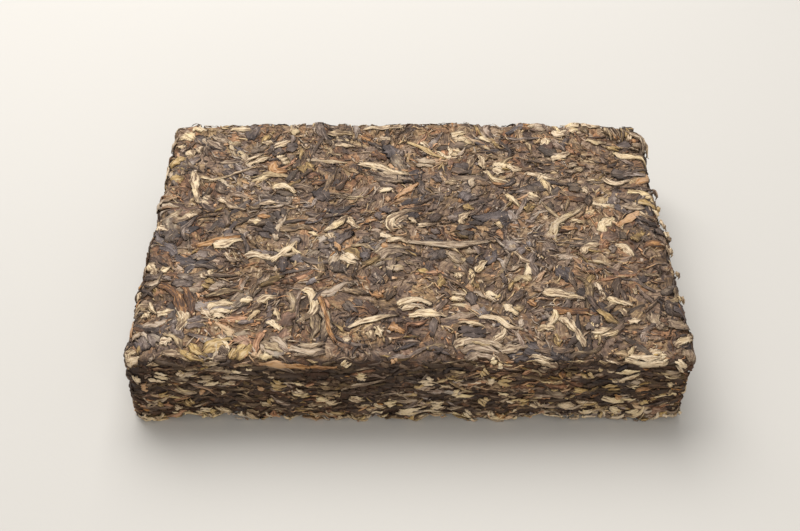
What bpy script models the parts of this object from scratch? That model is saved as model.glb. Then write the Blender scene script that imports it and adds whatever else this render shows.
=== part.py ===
"""Pu erh tea brick: one slab of steamed tea leaf, pressed in a mould and dried.

Run with: blender --background --python part.py
Lengths are in metres, with +Z up. The origin is on the table, under the middle of the brick.
"""

import math

import bmesh
import bpy
from mathutils import Vector, noise

MM = 0.001

# The mould's inside, which gives the brick its length along X, its width along Y and its height.
LENGTH = 145 * MM
WIDTH = 100 * MM
HEIGHT = 23 * MM
EDGE_RADIUS = 2.6 * MM  # leaf doesn't fill the mould's sharp edges
FACET = 3.1 * MM  # spacing of the facets over the faces

# The pressed leaf swells and shrinks as it dries: a slow wave and a finer one the size of a leaf.
WAVE_SPAN = 26 * MM
WAVE_RISE = 0.75 * MM
LEAF_SPAN = 6.5 * MM
LEAF_RISE = 0.45 * MM
SEED_PLACE = Vector((3.7, 1.3, 8.1))  # where in the noise field the brick is cut from

# Loose leaf squeezed out round the foot, where the press plate met the mould.
RIM_HEIGHT = 5 * MM
RIM_SPAN = 5.5 * MM
RIM_RISE = 1.1 * MM
FOOT_LIFT = 1.3 * MM  # most that the ragged rim stands clear of the table

# More leaf lay at the back of the mould: the brick is thicker there, and its back wall bows out.
BACK_THICKER = 1.3 * MM
BACK_BOW = 1.2 * MM

# The end wall at +X swells just in front of its middle, and the corner at +X +Y has crumbled.
SWELLING_PLACE = -8 * MM
SWELLING_SPAN = 11 * MM
SWELLING_RISE = 1.3 * MM
CRUMBLED_REACH = 8 * MM
CRUMBLED_DEPTH = 1.1 * MM

LEAF_COLOUR = (0.22, 0.155, 0.105, 1.0)


def start_empty():
    """Removes whatever the scene holds."""
    for found in list(bpy.data.objects):
        bpy.data.objects.remove(found, do_unlink=True)


def even_cuts(low, high, spacing):
    """Places that divide low to high evenly, both ends included, about spacing apart."""
    count = max(1, round((high - low) / spacing))
    return [low + (high - low) * step / count for step in range(count + 1)]


def gridded_block():
    """A block of the mould's size, cut into facets, with cuts where its edges begin to round."""
    block = bmesh.new()
    bmesh.ops.create_cube(block, size=1.0)
    bmesh.ops.scale(block, vec=(LENGTH, WIDTH, HEIGHT), verts=block.verts)
    bmesh.ops.translate(block, vec=(0, 0, HEIGHT / 2), verts=block.verts)
    halves = (
        (Vector((1, 0, 0)), -LENGTH / 2, LENGTH / 2),
        (Vector((0, 1, 0)), -WIDTH / 2, WIDTH / 2),
        (Vector((0, 0, 1)), 0.0, HEIGHT),
    )
    for axis, low, high in halves:
        for cut in even_cuts(low + EDGE_RADIUS, high - EDGE_RADIUS, FACET):
            bmesh.ops.bisect_plane(
                block,
                geom=block.verts[:] + block.edges[:] + block.faces[:],
                plane_co=axis * cut,
                plane_no=axis,
            )
    return block


def rounded(place):
    """The point of the round-edged slab over this point of the block, and the slab's normal there."""
    core = Vector(
        (
            max(-LENGTH / 2 + EDGE_RADIUS, min(LENGTH / 2 - EDGE_RADIUS, place.x)),
            max(-WIDTH / 2 + EDGE_RADIUS, min(WIDTH / 2 - EDGE_RADIUS, place.y)),
            max(EDGE_RADIUS, min(HEIGHT - EDGE_RADIUS, place.z)),
        )
    )
    normal = (place - core).normalized()
    return core + normal * EDGE_RADIUS, normal


def swell(place):
    """How far the leaf stands out of the mould's surface here, wherever the face looks."""
    slow = noise.noise(place / WAVE_SPAN + SEED_PLACE)
    fine = noise.noise(place / LEAF_SPAN - SEED_PLACE)
    return WAVE_RISE * slow + LEAF_RISE * fine


def rim_flash(place, normal):
    """Leaf squeezed outwards in the lowest few millimetres of the walls, in uneven tufts."""
    low = max(0.0, 1.0 - place.z / RIM_HEIGHT)
    outwards = Vector((normal.x, normal.y, 0))
    tuft = noise.noise(place / RIM_SPAN + 2 * SEED_PLACE)
    return outwards * (RIM_RISE * low * (tuft + 0.25))


def uneven_fill(place, normal):
    """The greater thickness towards the back, and the bow of the back wall."""
    back = 0.5 + place.y / WIDTH
    across = math.cos(math.pi * place.x / LENGTH)
    return Vector((0, BACK_BOW * across * max(0.0, normal.y), BACK_THICKER * back * place.z / HEIGHT))


def end_swelling(place, normal):
    """The gentle swelling of the end wall at +X."""
    away = (place.y - SWELLING_PLACE) / SWELLING_SPAN
    return Vector((SWELLING_RISE * math.exp(-away * away) * max(0.0, normal.x), 0, 0))


def crumbled(place):
    """Leaf lost from the corner at +X +Y: nothing at its reach, most at the corner."""
    corner = Vector((LENGTH / 2, WIDTH / 2, place.z))
    near = max(0.0, 1.0 - (place - corner).length / CRUMBLED_REACH)
    broken = near * near * (3 - 2 * near)
    inwards = Vector((-1, -1, -0.5)).normalized()
    return inwards * (CRUMBLED_DEPTH * broken * (1 + noise.noise(place / LEAF_SPAN)))


def settle(block):
    """Moves every point of the block from the mould's shape to the dried brick's."""
    for vert in block.verts:
        flat_below = vert.co.z == 0 and rounded(vert.co)[1].z == -1
        place, normal = rounded(vert.co)
        if flat_below:
            vert.co = place
            continue
        foot = max(0.0, -normal.z)
        walls = swell(place) * (1 - foot)
        place = place + normal * walls + uneven_fill(place, normal) + rim_flash(place, normal)
        place = place + end_swelling(place, normal) + crumbled(place)
        lift = FOOT_LIFT * foot * (1 - foot) * 4 * (0.5 + noise.noise(place / RIM_SPAN))
        vert.co = Vector((place.x, place.y, max(0.0, place.z + lift)))


def flatten_foot(block):
    """Joins the level facets that the brick stands on into one face."""
    level = [face for face in block.faces if max(v.co.z for v in face.verts) < 1e-7]
    bmesh.ops.dissolve_faces(block, faces=level, use_verts=True)


def centre(block):
    """Puts the middle of the uneven outline over the origin."""
    xs = [vert.co.x for vert in block.verts]
    ys = [vert.co.y for vert in block.verts]
    middle = Vector(((min(xs) + max(xs)) / 2, (min(ys) + max(ys)) / 2, 0))
    bmesh.ops.translate(block, vec=-middle, verts=block.verts)


def leaf_material():
    """Dry brown leaf with a slight sheen where the press has smoothed it."""
    made = bpy.data.materials.new("pressed_tea")
    made.use_nodes = True
    shader = made.node_tree.nodes["Principled BSDF"]
    shader.inputs["Base Color"].default_value = LEAF_COLOUR
    shader.inputs["Roughness"].default_value = 0.7
    shader.inputs["Metallic"].default_value = 0.0
    made.diffuse_color = LEAF_COLOUR
    return made


def tea_brick(holder):
    """The whole brick, which is one piece."""
    block = gridded_block()
    settle(block)
    centre(block)
    flatten_foot(block)
    bmesh.ops.recalc_face_normals(block, faces=block.faces)
    mesh = bpy.data.meshes.new("tea_brick")
    block.to_mesh(mesh)
    block.free()
    mesh.materials.append(leaf_material())
    mesh.shade_smooth()
    brick = bpy.data.objects.new("tea_brick", mesh)
    holder.objects.link(brick)
    return brick


def main():
    start_empty()
    holder = bpy.data.collections.new("pu_erh_tea_brick")
    bpy.context.scene.collection.children.link(holder)
    tea_brick(holder)


main()
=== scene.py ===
"""A brick of pressed tea, dressed over its solid model.

Steamed leaf that is pressed in a mould and dried shows every leaf it is made of. A dark core of crumb
stands just inside the solid, and each kind of leaf lies over it as one piece: broad leaves, dark strips,
grey strips, pale buds, stems, olive leaves, shreds and crumbs. Each shape of leaf is modelled once, then
laid many times along curved paths over the faces of the brick, each time at its own depth in the mat.

The frame is in metres. Leaves are laid out in millimetres and scaled when their piece is made.
"""

import math
from types import SimpleNamespace

import bmesh
import bpy
import numpy as np
from bpy.props import FloatProperty, FloatVectorProperty, IntProperty, IntVectorProperty, PointerProperty
from bpy.types import Operator, Panel, PropertyGroup
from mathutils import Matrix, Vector
from mathutils.bvhtree import BVHTree


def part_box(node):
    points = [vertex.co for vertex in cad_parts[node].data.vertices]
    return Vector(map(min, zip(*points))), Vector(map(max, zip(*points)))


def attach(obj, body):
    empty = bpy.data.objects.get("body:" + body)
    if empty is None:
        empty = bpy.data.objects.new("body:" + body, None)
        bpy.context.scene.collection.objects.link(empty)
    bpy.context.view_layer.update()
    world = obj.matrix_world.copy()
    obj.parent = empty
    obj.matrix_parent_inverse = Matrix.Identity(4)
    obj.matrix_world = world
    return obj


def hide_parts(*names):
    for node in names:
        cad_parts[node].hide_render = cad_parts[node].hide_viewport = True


bl_info = {
    "name": "Pressed Tea Brick",
    "version": (1, 0, 0),
    "blender": (4, 5, 0),
    "location": "View3D > Sidebar > Tea",
    "description": "Dresses the solid model of a tea brick with its leaves, buds, stems and crumbs",
    "category": "Add Mesh",
}

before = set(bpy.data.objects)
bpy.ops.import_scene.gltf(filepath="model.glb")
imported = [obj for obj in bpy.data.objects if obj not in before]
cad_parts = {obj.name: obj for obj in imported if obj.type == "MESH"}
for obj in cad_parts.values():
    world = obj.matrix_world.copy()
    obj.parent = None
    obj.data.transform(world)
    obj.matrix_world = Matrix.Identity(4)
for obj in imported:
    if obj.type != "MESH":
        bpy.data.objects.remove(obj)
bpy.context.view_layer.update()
MM = 0.001
NODE = "tea_brick"
LOW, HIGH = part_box(NODE)
EPSILON = 1e-9


# ---------------------------------------------------------------------------------------------------
# Sizes and colours
# ---------------------------------------------------------------------------------------------------


def distance(name, millimetres, words):
    """A length that the sidebar shows in scene units."""
    return FloatProperty(name=name, description=words, default=millimetres * MM, unit="LENGTH")


def span(name, low, high, words):
    """A shortest and a longest length, in millimetres."""
    return FloatVectorProperty(name=name, description=words, size=2, default=(low, high))


def length_span(shortest, longest):
    """From the shortest to the longest leaf of a kind."""
    return span("Length", shortest, longest, "Shortest and longest, in millimetres")


def width_span(narrowest, widest):
    """From the narrowest to the widest leaf of a kind."""
    return span("Width", narrowest, widest, "Narrowest and widest, in millimetres")


def level_span(deepest, highest):
    """From how deep to how high the leaves of a kind lie, against the pressed surface."""
    return span("Level", deepest, highest, "Deepest and highest in the mat, in millimetres")


def colour(name, red, green, blue, words):
    """A surface colour in linear light."""
    shade = (red, green, blue, 1.0)
    return FloatVectorProperty(name=name, description=words, subtype="COLOR", size=4, default=shade)


def amounts(face, walls, foot, underside):
    """How many leaves of a kind lie on each bed."""
    words = "Leaves on the broad face, on the walls, ragged along the foot, and under the brick"
    leaves = (face, walls, foot, underside)
    return IntVectorProperty(name="Leaves", description=words, size=4, default=leaves)


def seed(number):
    """The number that a kind's random draws start from."""
    return IntProperty(name="Seed", description="Start of the random draws", default=number)


class TEA_PG_core(PropertyGroup):
    """The mash of crumb and broken leaf under the leaves that show."""

    edge_radius: distance("Edge Radius", 2.6, "How round the mould's edges left the brick")
    depth: distance("Depth", 0.38, "How far the mash lies inside the pressed surface")
    wall_depth: distance("Wall Depth", 0.32, "How much farther in the mash lies on the walls")
    facet: distance("Facet", 0.68, "Size of the mash's facets")
    lump_size: distance("Lump Size", 2.4, "Span of the lumps in the mash")
    lump_rise: distance("Lump Rise", 0.7, "Height of the lumps from hollow to top")
    flake_size: distance("Flake Size", 4.2, "Span of the pieces of leaf in the mash")
    flake_rise: distance("Flake Rise", 0.35, "How far the edges of those pieces stand up")
    deep: colour("Deep", 0.045, 0.028, 0.020, "Cracks and the darkest pieces")
    dark: colour("Dark", 0.105, 0.067, 0.047, "Dark pieces")
    warm: colour("Warm", 0.205, 0.135, 0.087, "Brown pieces")
    pale: colour("Pale", 0.360, 0.258, 0.168, "Pale pieces")
    seed: seed(5)


# The hollow colour of each kind shows partly as painted shade in the grooves and wrinkles, and the crest
# colour partly as a painted highlight on the ridges.
class TEA_PG_broad_leaves(PropertyGroup):
    """Whole leaves pressed flat: violet brown, finely wrinkled."""

    leaves: amounts(170, 60, 4, 110)
    length: length_span(4.0, 14.0)
    width: width_span(2.0, 6.0)
    thickness: distance("Thickness", 0.45, "From the underside to the highest wrinkle")
    level: level_span(-0.45, -0.1)
    hollow: colour("Hollow", 0.048, 0.033, 0.027, "In the wrinkles")
    body: colour("Body", 0.090, 0.065, 0.053, "Most of the leaf")
    crest: colour("Crest", 0.170, 0.125, 0.101, "On the wrinkles")
    seed: seed(11)


class TEA_PG_dark_strips(PropertyGroup):
    """Rolled leaf, dark brown."""

    leaves: amounts(260, 1000, 50, 240)
    length: length_span(4.0, 16.0)
    width: width_span(1.3, 3.2)
    thickness: distance("Thickness", 0.55, "From the underside to the ridge")
    level: level_span(-0.4, 0.0)
    hollow: colour("Hollow", 0.055, 0.035, 0.024, "In the grooves")
    body: colour("Body", 0.140, 0.091, 0.061, "Most of the leaf")
    crest: colour("Crest", 0.290, 0.202, 0.138, "On the ridges")
    seed: seed(23)


class TEA_PG_grey_strips(PropertyGroup):
    """Rolled leaf with a bloom of down, grey beige."""

    leaves: amounts(130, 700, 45, 220)
    length: length_span(4.5, 17.0)
    width: width_span(1.2, 3.2)
    thickness: distance("Thickness", 0.55, "From the underside to the ridge")
    level: level_span(-0.35, 0.02)
    hollow: colour("Hollow", 0.088, 0.058, 0.040, "In the grooves")
    body: colour("Body", 0.215, 0.153, 0.102, "Most of the leaf")
    crest: colour("Crest", 0.370, 0.278, 0.185, "On the ridges")
    seed: seed(37)


class TEA_PG_pale_buds(PropertyGroup):
    """Rolled buds, cream with golden down."""

    leaves: amounts(30, 420, 180, 130)
    length: length_span(3.0, 12.0)
    width: width_span(1.0, 2.4)
    thickness: distance("Thickness", 0.6, "From the underside to the ridge")
    level: level_span(-0.35, 0.05)
    hollow: colour("Hollow", 0.150, 0.098, 0.060, "In the grooves")
    body: colour("Body", 0.390, 0.288, 0.183, "Most of the bud")
    crest: colour("Crest", 0.595, 0.470, 0.310, "On the ridges")
    seed: seed(41)


class TEA_PG_stems(PropertyGroup):
    """Stems and leaf stalks, rust brown to orange."""

    leaves: amounts(90, 260, 16, 70)
    length: length_span(1.5, 7.0)
    width: width_span(0.6, 1.6)
    thickness: distance("Thickness", 0.5, "From the underside to the top")
    level: level_span(-0.4, 0.0)
    hollow: colour("Hollow", 0.062, 0.031, 0.018, "In the grooves")
    body: colour("Body", 0.142, 0.067, 0.028, "Most of the stem")
    # The crest is the paler bark, and on the stems' ridges also a painted highlight.
    crest: colour("Crest", 0.350, 0.172, 0.058, "Where the bark is rubbed")
    seed: seed(53)


class TEA_PG_olive_leaves(PropertyGroup):
    """Thin young leaves that dried yellow olive."""

    leaves: amounts(50, 320, 50, 60)
    length: length_span(3.0, 9.0)
    width: width_span(0.9, 2.6)
    thickness: distance("Thickness", 0.5, "From the underside to the highest wrinkle")
    level: level_span(-0.35, 0.0)
    hollow: colour("Hollow", 0.100, 0.064, 0.030, "In the wrinkles")
    body: colour("Body", 0.225, 0.146, 0.064, "Most of the leaf")
    crest: colour("Crest", 0.392, 0.264, 0.106, "On the wrinkles")
    seed: seed(61)


class TEA_PG_shreds(PropertyGroup):
    """Threads torn from every kind of leaf, most of them half buried."""

    leaves: amounts(3100, 1500, 140, 400)
    length: length_span(1.4, 6.0)
    width: width_span(0.25, 0.75)
    thickness: distance("Thickness", 0.35, "From the underside to the top")
    level: level_span(-0.3, 0.05)
    hollow: colour("Hollow", 0.060, 0.038, 0.026, "The darkest shreds")
    body: colour("Body", 0.185, 0.120, 0.076, "Most of the shreds")
    crest: colour("Crest", 0.420, 0.305, 0.195, "The palest shreds")
    seed: seed(67)


class TEA_PG_crumbs(PropertyGroup):
    """Broken bits of every kind of leaf."""

    leaves: amounts(1600, 1200, 200, 700)
    length: length_span(0.7, 2.6)
    width: width_span(0.4, 1.3)
    thickness: distance("Thickness", 0.4, "From the underside to the top")
    level: level_span(-0.4, -0.02)
    hollow: colour("Hollow", 0.060, 0.038, 0.026, "The darkest crumbs")
    body: colour("Body", 0.180, 0.116, 0.073, "Most of the crumbs")
    crest: colour("Crest", 0.400, 0.285, 0.180, "The palest crumbs")
    seed: seed(71)


class TEA_PG_stage(PropertyGroup):
    """The floor, the light and the camera, which aren't part of the brick."""

    floor_colour: colour("Floor", 0.50, 0.485, 0.46, "Plain pale floor")
    camera_place: FloatVectorProperty(
        name="Camera Place",
        description="Where the camera stands",
        subtype="TRANSLATION",
        unit="LENGTH",
        default=(-0.0022, -0.2369, 0.2309),
    )
    camera_tilt: FloatProperty(
        name="Camera Tilt",
        description="How far the camera looks down",
        subtype="ANGLE",
        default=math.radians(43.1),
    )
    camera_lens: FloatProperty(name="Camera Lens", description="Focal length, in mm", default=49.7)
    key_power: FloatProperty(name="Key Power", description="Light above and behind, in watts", default=9.4)
    fill_power: FloatProperty(name="Fill Power", description="Light from the front, in watts", default=4.6)
    sky_strength: FloatProperty(name="Sky Strength", description="Even light from all round", default=0.45)


# ---------------------------------------------------------------------------------------------------
# Modelling tools
# ---------------------------------------------------------------------------------------------------


def deselect_all():
    """Leaves nothing selected, so that the next operator acts on the new primitive alone."""
    bpy.ops.object.select_all(action="DESELECT")


def select_vertices(leaf, test):
    """Selects, in edit mode, just the vertices whose place passes the test."""
    shape = bmesh.from_edit_mesh(leaf.data)
    for vert in shape.verts:
        vert.select_set(bool(test(vert.co)))
    shape.select_flush_mode()
    bmesh.update_edit_mesh(leaf.data)


def select_long_edges(leaf, shortest):
    """Selects, in edit mode, just the edges that run along X for more than this length."""
    bpy.ops.mesh.select_mode(type="EDGE")
    shape = bmesh.from_edit_mesh(leaf.data)
    for edge in shape.edges:
        edge.select_set(abs(edge.verts[0].co.x - edge.verts[1].co.x) > shortest)
    bmesh.update_edit_mesh(leaf.data)
    bpy.ops.mesh.select_mode(use_extend=False, use_expand=False, type="EDGE")


def scale_about_axis(value, reach=None):
    """Scales what is selected about the middle of the leaf, and its surroundings within reach."""
    spread = {}
    if reach:
        spread = {"use_proportional_edit": True, "proportional_size": reach}
    bpy.ops.transform.resize(value=value, center_override=(0.0, 0.0, 0.0), **spread)


def apply_modifier(leaf, kind, **settings):
    """Adds a modifier with these settings and applies it."""
    added = leaf.modifiers.new(kind.title(), kind)
    for name, value in settings.items():
        setattr(added, name, value)
    bpy.ops.object.modifier_apply(modifier=added.name)


def fit_unit_box(leaf):
    """Makes the leaf one unit long, wide and thick, about the origin."""
    leaf.data.update()
    points = np.array([vert.co for vert in leaf.data.vertices])
    low, high = points.min(0), points.max(0)
    bpy.ops.object.mode_set(mode="EDIT")
    bpy.ops.mesh.select_all(action="SELECT")
    bpy.ops.transform.translate(value=tuple(-(low + high) / 2))
    scale_about_axis(tuple(1 / (high - low)))
    bpy.ops.object.mode_set(mode="OBJECT")


def rolled_leaf(name, sides, rings, groove, twist, tip, butt, crinkle, number):
    """A leaf rolled between the fingers: grooved along its length, twisted, narrower at its ends.

    The groove, tip and butt are shares of its full width, and the twist is in degrees.
    """
    deselect_all()
    bpy.ops.mesh.primitive_cylinder_add(vertices=sides, radius=0.5, depth=1.0, rotation=(0, math.pi / 2, 0))
    leaf = bpy.context.object
    leaf.name = name
    bpy.ops.object.transform_apply(location=False, rotation=True, scale=False)
    bpy.ops.object.mode_set(mode="EDIT")
    select_long_edges(leaf, 0.5)
    bpy.ops.mesh.subdivide(number_cuts=rings - 1)
    bpy.ops.mesh.select_mode(type="VERT")

    def in_groove(place):
        """Whether a vertex is in one of the grooves, which lie between the ridges."""
        turn = math.atan2(place.z, place.y) / (2 * math.pi) * sides
        return round(turn) % 2 == 1

    select_vertices(leaf, in_groove)
    scale_about_axis((1, groove, groove))
    select_vertices(leaf, lambda place: place.x > 0.49)
    scale_about_axis((1, tip, tip), reach=0.5)
    select_vertices(leaf, lambda place: place.x < -0.49)
    scale_about_axis((1, butt, butt), reach=0.3)
    bpy.ops.mesh.select_all(action="SELECT")
    bpy.ops.transform.vertex_random(offset=crinkle, uniform=1.0, normal=0.0, seed=number)
    bpy.ops.object.mode_set(mode="OBJECT")
    apply_modifier(leaf, "SIMPLE_DEFORM", deform_method="TWIST", deform_axis="X", angle=math.radians(twist))
    fit_unit_box(leaf)
    return finished_shape(leaf)


def broken_bit(name, number, ragged):
    """A crumb of leaf: a small lump with uneven sides."""
    deselect_all()
    bpy.ops.mesh.primitive_ico_sphere_add(subdivisions=1, radius=0.5)
    leaf = bpy.context.object
    leaf.name = name
    bpy.ops.object.mode_set(mode="EDIT")
    bpy.ops.mesh.select_all(action="SELECT")
    bpy.ops.transform.vertex_random(offset=ragged, uniform=1.0, normal=0.0, seed=number)
    bpy.ops.object.mode_set(mode="OBJECT")
    fit_unit_box(leaf)
    return finished_shape(leaf)


def finished_shape(leaf):
    """Reads a modelled leaf as arrays, and removes its object."""
    mesh = leaf.data
    shape = SimpleNamespace()
    shape.points = read(mesh.vertices, "co", 3)
    shape.corners = read(mesh.loops, "vertex_index", 1, np.int32)
    shape.starts = read(mesh.polygons, "loop_start", 1, np.int32)
    shape.map = read(mesh.uv_layers[0].uv, "vector", 2)
    # how far each point stands out from the leaf's axis; its material paints shade in the grooves and a
    # highlight on the ridges from this
    girth = np.hypot(shape.points[:, 1], shape.points[:, 2]) * 2
    shape.ridge = np.clip((girth - 0.45) / 0.55, 0, 1)
    bpy.data.objects.remove(leaf, do_unlink=True)
    bpy.data.meshes.remove(mesh)
    return shape


def read(items, name, width, kind=np.float32):
    """One property of many mesh items, as an array."""
    found = np.empty(len(items) * width, kind)
    items.foreach_get(name, found)
    return found.reshape(-1, width) if width > 1 else found


# ---------------------------------------------------------------------------------------------------
# The faces that leaves are laid on
# ---------------------------------------------------------------------------------------------------


def solid_copy():
    """A copy of the CAD solid with its loose triangles joined."""
    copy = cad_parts[NODE].copy()
    copy.data = copy.data.copy()
    for name in list(copy.keys()):
        del copy[name]
    copy.parent = None
    bpy.context.scene.collection.objects.link(copy)
    deselect_all()
    copy.select_set(True)
    bpy.context.view_layer.objects.active = copy
    bpy.ops.object.mode_set(mode="EDIT")
    bpy.ops.mesh.select_all(action="SELECT")
    bpy.ops.mesh.remove_doubles(threshold=0.01 * MM)
    bpy.ops.object.mode_set(mode="OBJECT")
    return copy


class Brick:
    """The mould's round-edged block, in millimetres, a little inside the box of the solid."""

    INSET = 0.9  # from the solid's box, which its proudest lumps reach, to the mean surface

    def __init__(self, solid, edge_radius):
        self.radius = edge_radius / MM
        self.half_x = (HIGH.x - LOW.x) / MM / 2 - self.INSET - self.radius
        self.half_y = (HIGH.y - LOW.y) / MM / 2 - self.INSET - self.radius
        self.height = (HIGH.z - LOW.z) / MM - self.INSET
        self.arc = self.radius * math.pi / 2
        work = bmesh.new()
        work.from_mesh(solid.data)
        self.solid = BVHTree.FromBMesh(work)
        work.free()

    def stand(self, place, normal):
        """How far the solid's surface stands out from the block along each normal."""
        flat, out = place.reshape(-1, 3), normal.reshape(-1, 3)
        found = [self.solid.find_nearest(Vector(point) * MM)[0] / MM for point in flat]
        return ((np.array(found) - flat) * out).sum(1).reshape(place.shape[:-1])

    def over_edge(self, past):
        """For a distance past where an edge begins to round: the turn, and what is left beyond it."""
        past = np.maximum(past, 0)
        return np.minimum(past / self.radius, math.pi / 2), np.maximum(past - self.arc, 0)


class BroadFace:
    """The top of the brick, unrolled: u runs along +X and v along +Y, and both go over the edges."""

    BEYOND = 14.0  # how far past the rounding of an edge a leaf may reach

    def __init__(self, brick, underneath=False):
        self.brick = brick
        self.underneath = underneath
        reach_x = brick.half_x + brick.arc + self.BEYOND
        reach_y = brick.half_y + brick.arc + self.BEYOND
        self.stands = StandGrid(self, (-reach_x, reach_x), (-reach_y, reach_y))

    def extent(self):
        """The lowest and highest u and v at which a leaf's middle may lie."""
        edge = self.brick.arc * 0.4
        return (
            (-self.brick.half_x - edge, self.brick.half_x + edge),
            (-self.brick.half_y - edge, self.brick.half_y + edge),
        )

    def form(self, u, v):
        """The point of the block at u, v and the way it faces."""
        brick = self.brick
        core_u = np.clip(u, -brick.half_x, brick.half_x)
        core_v = np.clip(v, -brick.half_y, brick.half_y)
        past = np.hypot(u - core_u, v - core_v)
        turn, down = brick.over_edge(past)
        away_u = (u - core_u) / np.maximum(past, EPSILON)
        away_v = (v - core_v) / np.maximum(past, EPSILON)
        out = brick.radius * np.sin(turn)
        rise = brick.height - brick.radius + brick.radius * np.cos(turn) - down
        place = np.stack([core_u + away_u * out, core_v + away_v * out, rise], -1)
        normal = np.stack([away_u * np.sin(turn), away_v * np.sin(turn), np.cos(turn)], -1)
        if self.underneath:
            place = place * (-1, 1, -1) + (0, 0, brick.height)
            normal = normal * (-1, 1, -1)
        return place, normal


class Walls:
    """The four walls, unrolled: u runs round the brick from its front left corner, and v upwards."""

    BEYOND = 10.0  # how far over the top or under the foot a leaf may reach

    def __init__(self, brick):
        self.brick = brick
        long, short, arc = 2 * brick.half_x, 2 * brick.half_y, brick.arc
        self.breaks = np.cumsum([0, long, arc, short, arc, long, arc, short, arc])
        self.round = self.breaks[-1]
        self.stands = StandGrid(self, (0, self.round), (-self.BEYOND, brick.height + self.BEYOND))

    def extent(self):
        """The lowest and highest u and v at which a leaf's middle may lie."""
        return (0, self.round), (0.6, self.brick.height - 0.8)

    def along(self, x, y):
        """How far round the brick a point near its walls lies."""
        half_x, half_y = self.brick.half_x, self.brick.half_y
        on_long = np.abs(y) - half_y > np.abs(x) - half_x
        long = np.where(y < 0, x + half_x, self.breaks[4] + half_x - x)
        short = np.where(x > 0, self.breaks[2] + y + half_y, self.breaks[6] + half_y - y)
        return np.where(on_long, long, short)

    def form(self, u, v):
        """The point of the block at u, v and the way it faces."""
        brick = self.brick
        x, y = brick.half_x, brick.half_y
        u = np.mod(u, self.round)
        facing = np.radians(np.interp(u, self.breaks, [-90, -90, 0, 0, 90, 90, 180, 180, 270]))
        core_x = np.interp(u, self.breaks, [-x, x, x, x, x, -x, -x, -x, -x])
        core_y = np.interp(u, self.breaks, [-y, -y, -y, y, y, y, y, -y, -y])
        over, in_top = brick.over_edge(v - (brick.height - brick.radius))
        under, in_foot = brick.over_edge(brick.radius - v)
        lean = over - under
        out = brick.radius * np.cos(lean) - in_top - in_foot
        rise = np.clip(v, brick.radius, brick.height - brick.radius) + brick.radius * np.sin(lean)
        place = np.stack([core_x + np.cos(facing) * out, core_y + np.sin(facing) * out, rise], -1)
        level = np.cos(lean)
        normal = np.stack([np.cos(facing) * level, np.sin(facing) * level, np.sin(lean)], -1)
        return place, normal


class StandGrid:
    """How far the solid stands from the block over a whole face, read between the points of a grid."""

    SPACING = 2.0

    def __init__(self, face, u_range, v_range):
        self.low, high = np.array([u_range, v_range], float).T
        counts = np.maximum(2, np.round((high - self.low) / self.SPACING)).astype(int)
        self.step = (high - self.low) / counts
        u = self.low[0] + self.step[0] * np.arange(counts[0] + 1)
        v = self.low[1] + self.step[1] * np.arange(counts[1] + 1)
        place, normal = face.form(*np.meshgrid(u, v, indexing="ij"))
        self.values = face.brick.stand(place, normal)

    def at(self, u, v):
        """The stand at u, v, blended from the four grid points around it."""
        last = np.array(self.values.shape) - 1
        along = np.clip((u - self.low[0]) / self.step[0], 0, last[0] - 1e-6)
        up = np.clip((v - self.low[1]) / self.step[1], 0, last[1] - 1e-6)
        i, j = along.astype(int), up.astype(int)
        a, b = along - i, up - j
        near = self.values[i, j] * (1 - a) + self.values[i + 1, j] * a
        far = self.values[i, j + 1] * (1 - a) + self.values[i + 1, j + 1] * a
        return near * (1 - b) + far * b


def on_face(face, u, v, height):
    """Points in space for places on an unrolled face and heights over the pressed surface."""
    if isinstance(face, Walls):
        stand = face.stands.at(np.mod(u, face.round), v)
    else:
        stand = face.stands.at(u, v)
    place, normal = face.form(u, v)
    return place + normal * (stand + height)[..., None]


# ---------------------------------------------------------------------------------------------------
# The torn foot and the lumpy rim
# ---------------------------------------------------------------------------------------------------

# Along the front wall, each pair is x and the height over the floor that the foot's edge reaches.
# Round the other walls the profile repeats.
FOOT_PROFILE = (
    (-72, 1.6), (-67, 1), (-60, 2.5), (-58.5, 3.6), (-52, 1.5), (-50, 3), (-42, 1.5), (-40, 0.3),
    (-34.5, 2.8), (-32.5, 1), (-26, 2.3), (-24.5, 1.2), (-23, 2), (-21, 0.4), (-17, 0.5), (-16, 1.8),
    (-14, 0.2), (-10, 0.8), (-8.5, 2.4), (-7, 1), (-5, 2), (2, 0.3), (5, 2.4), (12, 2.3),
    (14, 1.2), (18, 0), (21, 1.3), (24, 0.3), (29, 1.6), (32, 1.2), (36, 3), (42, 1.8),
    (48, 1.8), (54, 1.4), (61.5, 0), (66, 1.2), (69, 2), (72, 1.6),
)  # fmt: skip
SMOOTH_FOOT = 1.5  # the height that the foot's edge would reach if nothing were torn
FOOT_TOP = (2.0, 6.0)  # heights between which the torn foot gives way to the even wall
FOOT_BAND = 2.5  # how far in from the rounding of the walls the foot still moves
FOOT_PUSH = 0.8  # how far out what can't go lower is pushed, for each millimetre
RIM_SWELL = (0.1, 1.0, 0.9, 0.6)  # how far the top rim stands out: at the front, right, back and left
RIM_LUMP = 0.3  # how much more or less than that its lumps do
RIM_TOP = (9.0, 1.0)  # depths under the top between which the even wall gives way to the rim
RIM_BAND = 5.0  # how far in from the rounding of the walls the rim still swells
RIM_OUT, RIM_UP = 0.8, 0.7  # the shares of its swelling that go outwards and upwards
FLOOR_GAP = 0.05  # height that the foot isn't lowered past
CLEAR = 0.01  # height over the floor that nothing goes below
SQUEEZED = 0.3  # height below which what lies under the brick is squeezed together


def rim_lumps(u):
    """Uneven lumps along the rim: waves of several lengths, each one stretched here and there."""
    lumps = np.sin(u * 0.23 + 2.1 * np.sin(u * 0.071)) + np.sin(u * 0.57 + 2.7 * np.sin(u * 0.113)) * 0.7
    return lumps + np.maximum(np.sin(u * 1.31 + 3.1 * np.sin(u * 0.19)), 0) * 0.6


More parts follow.
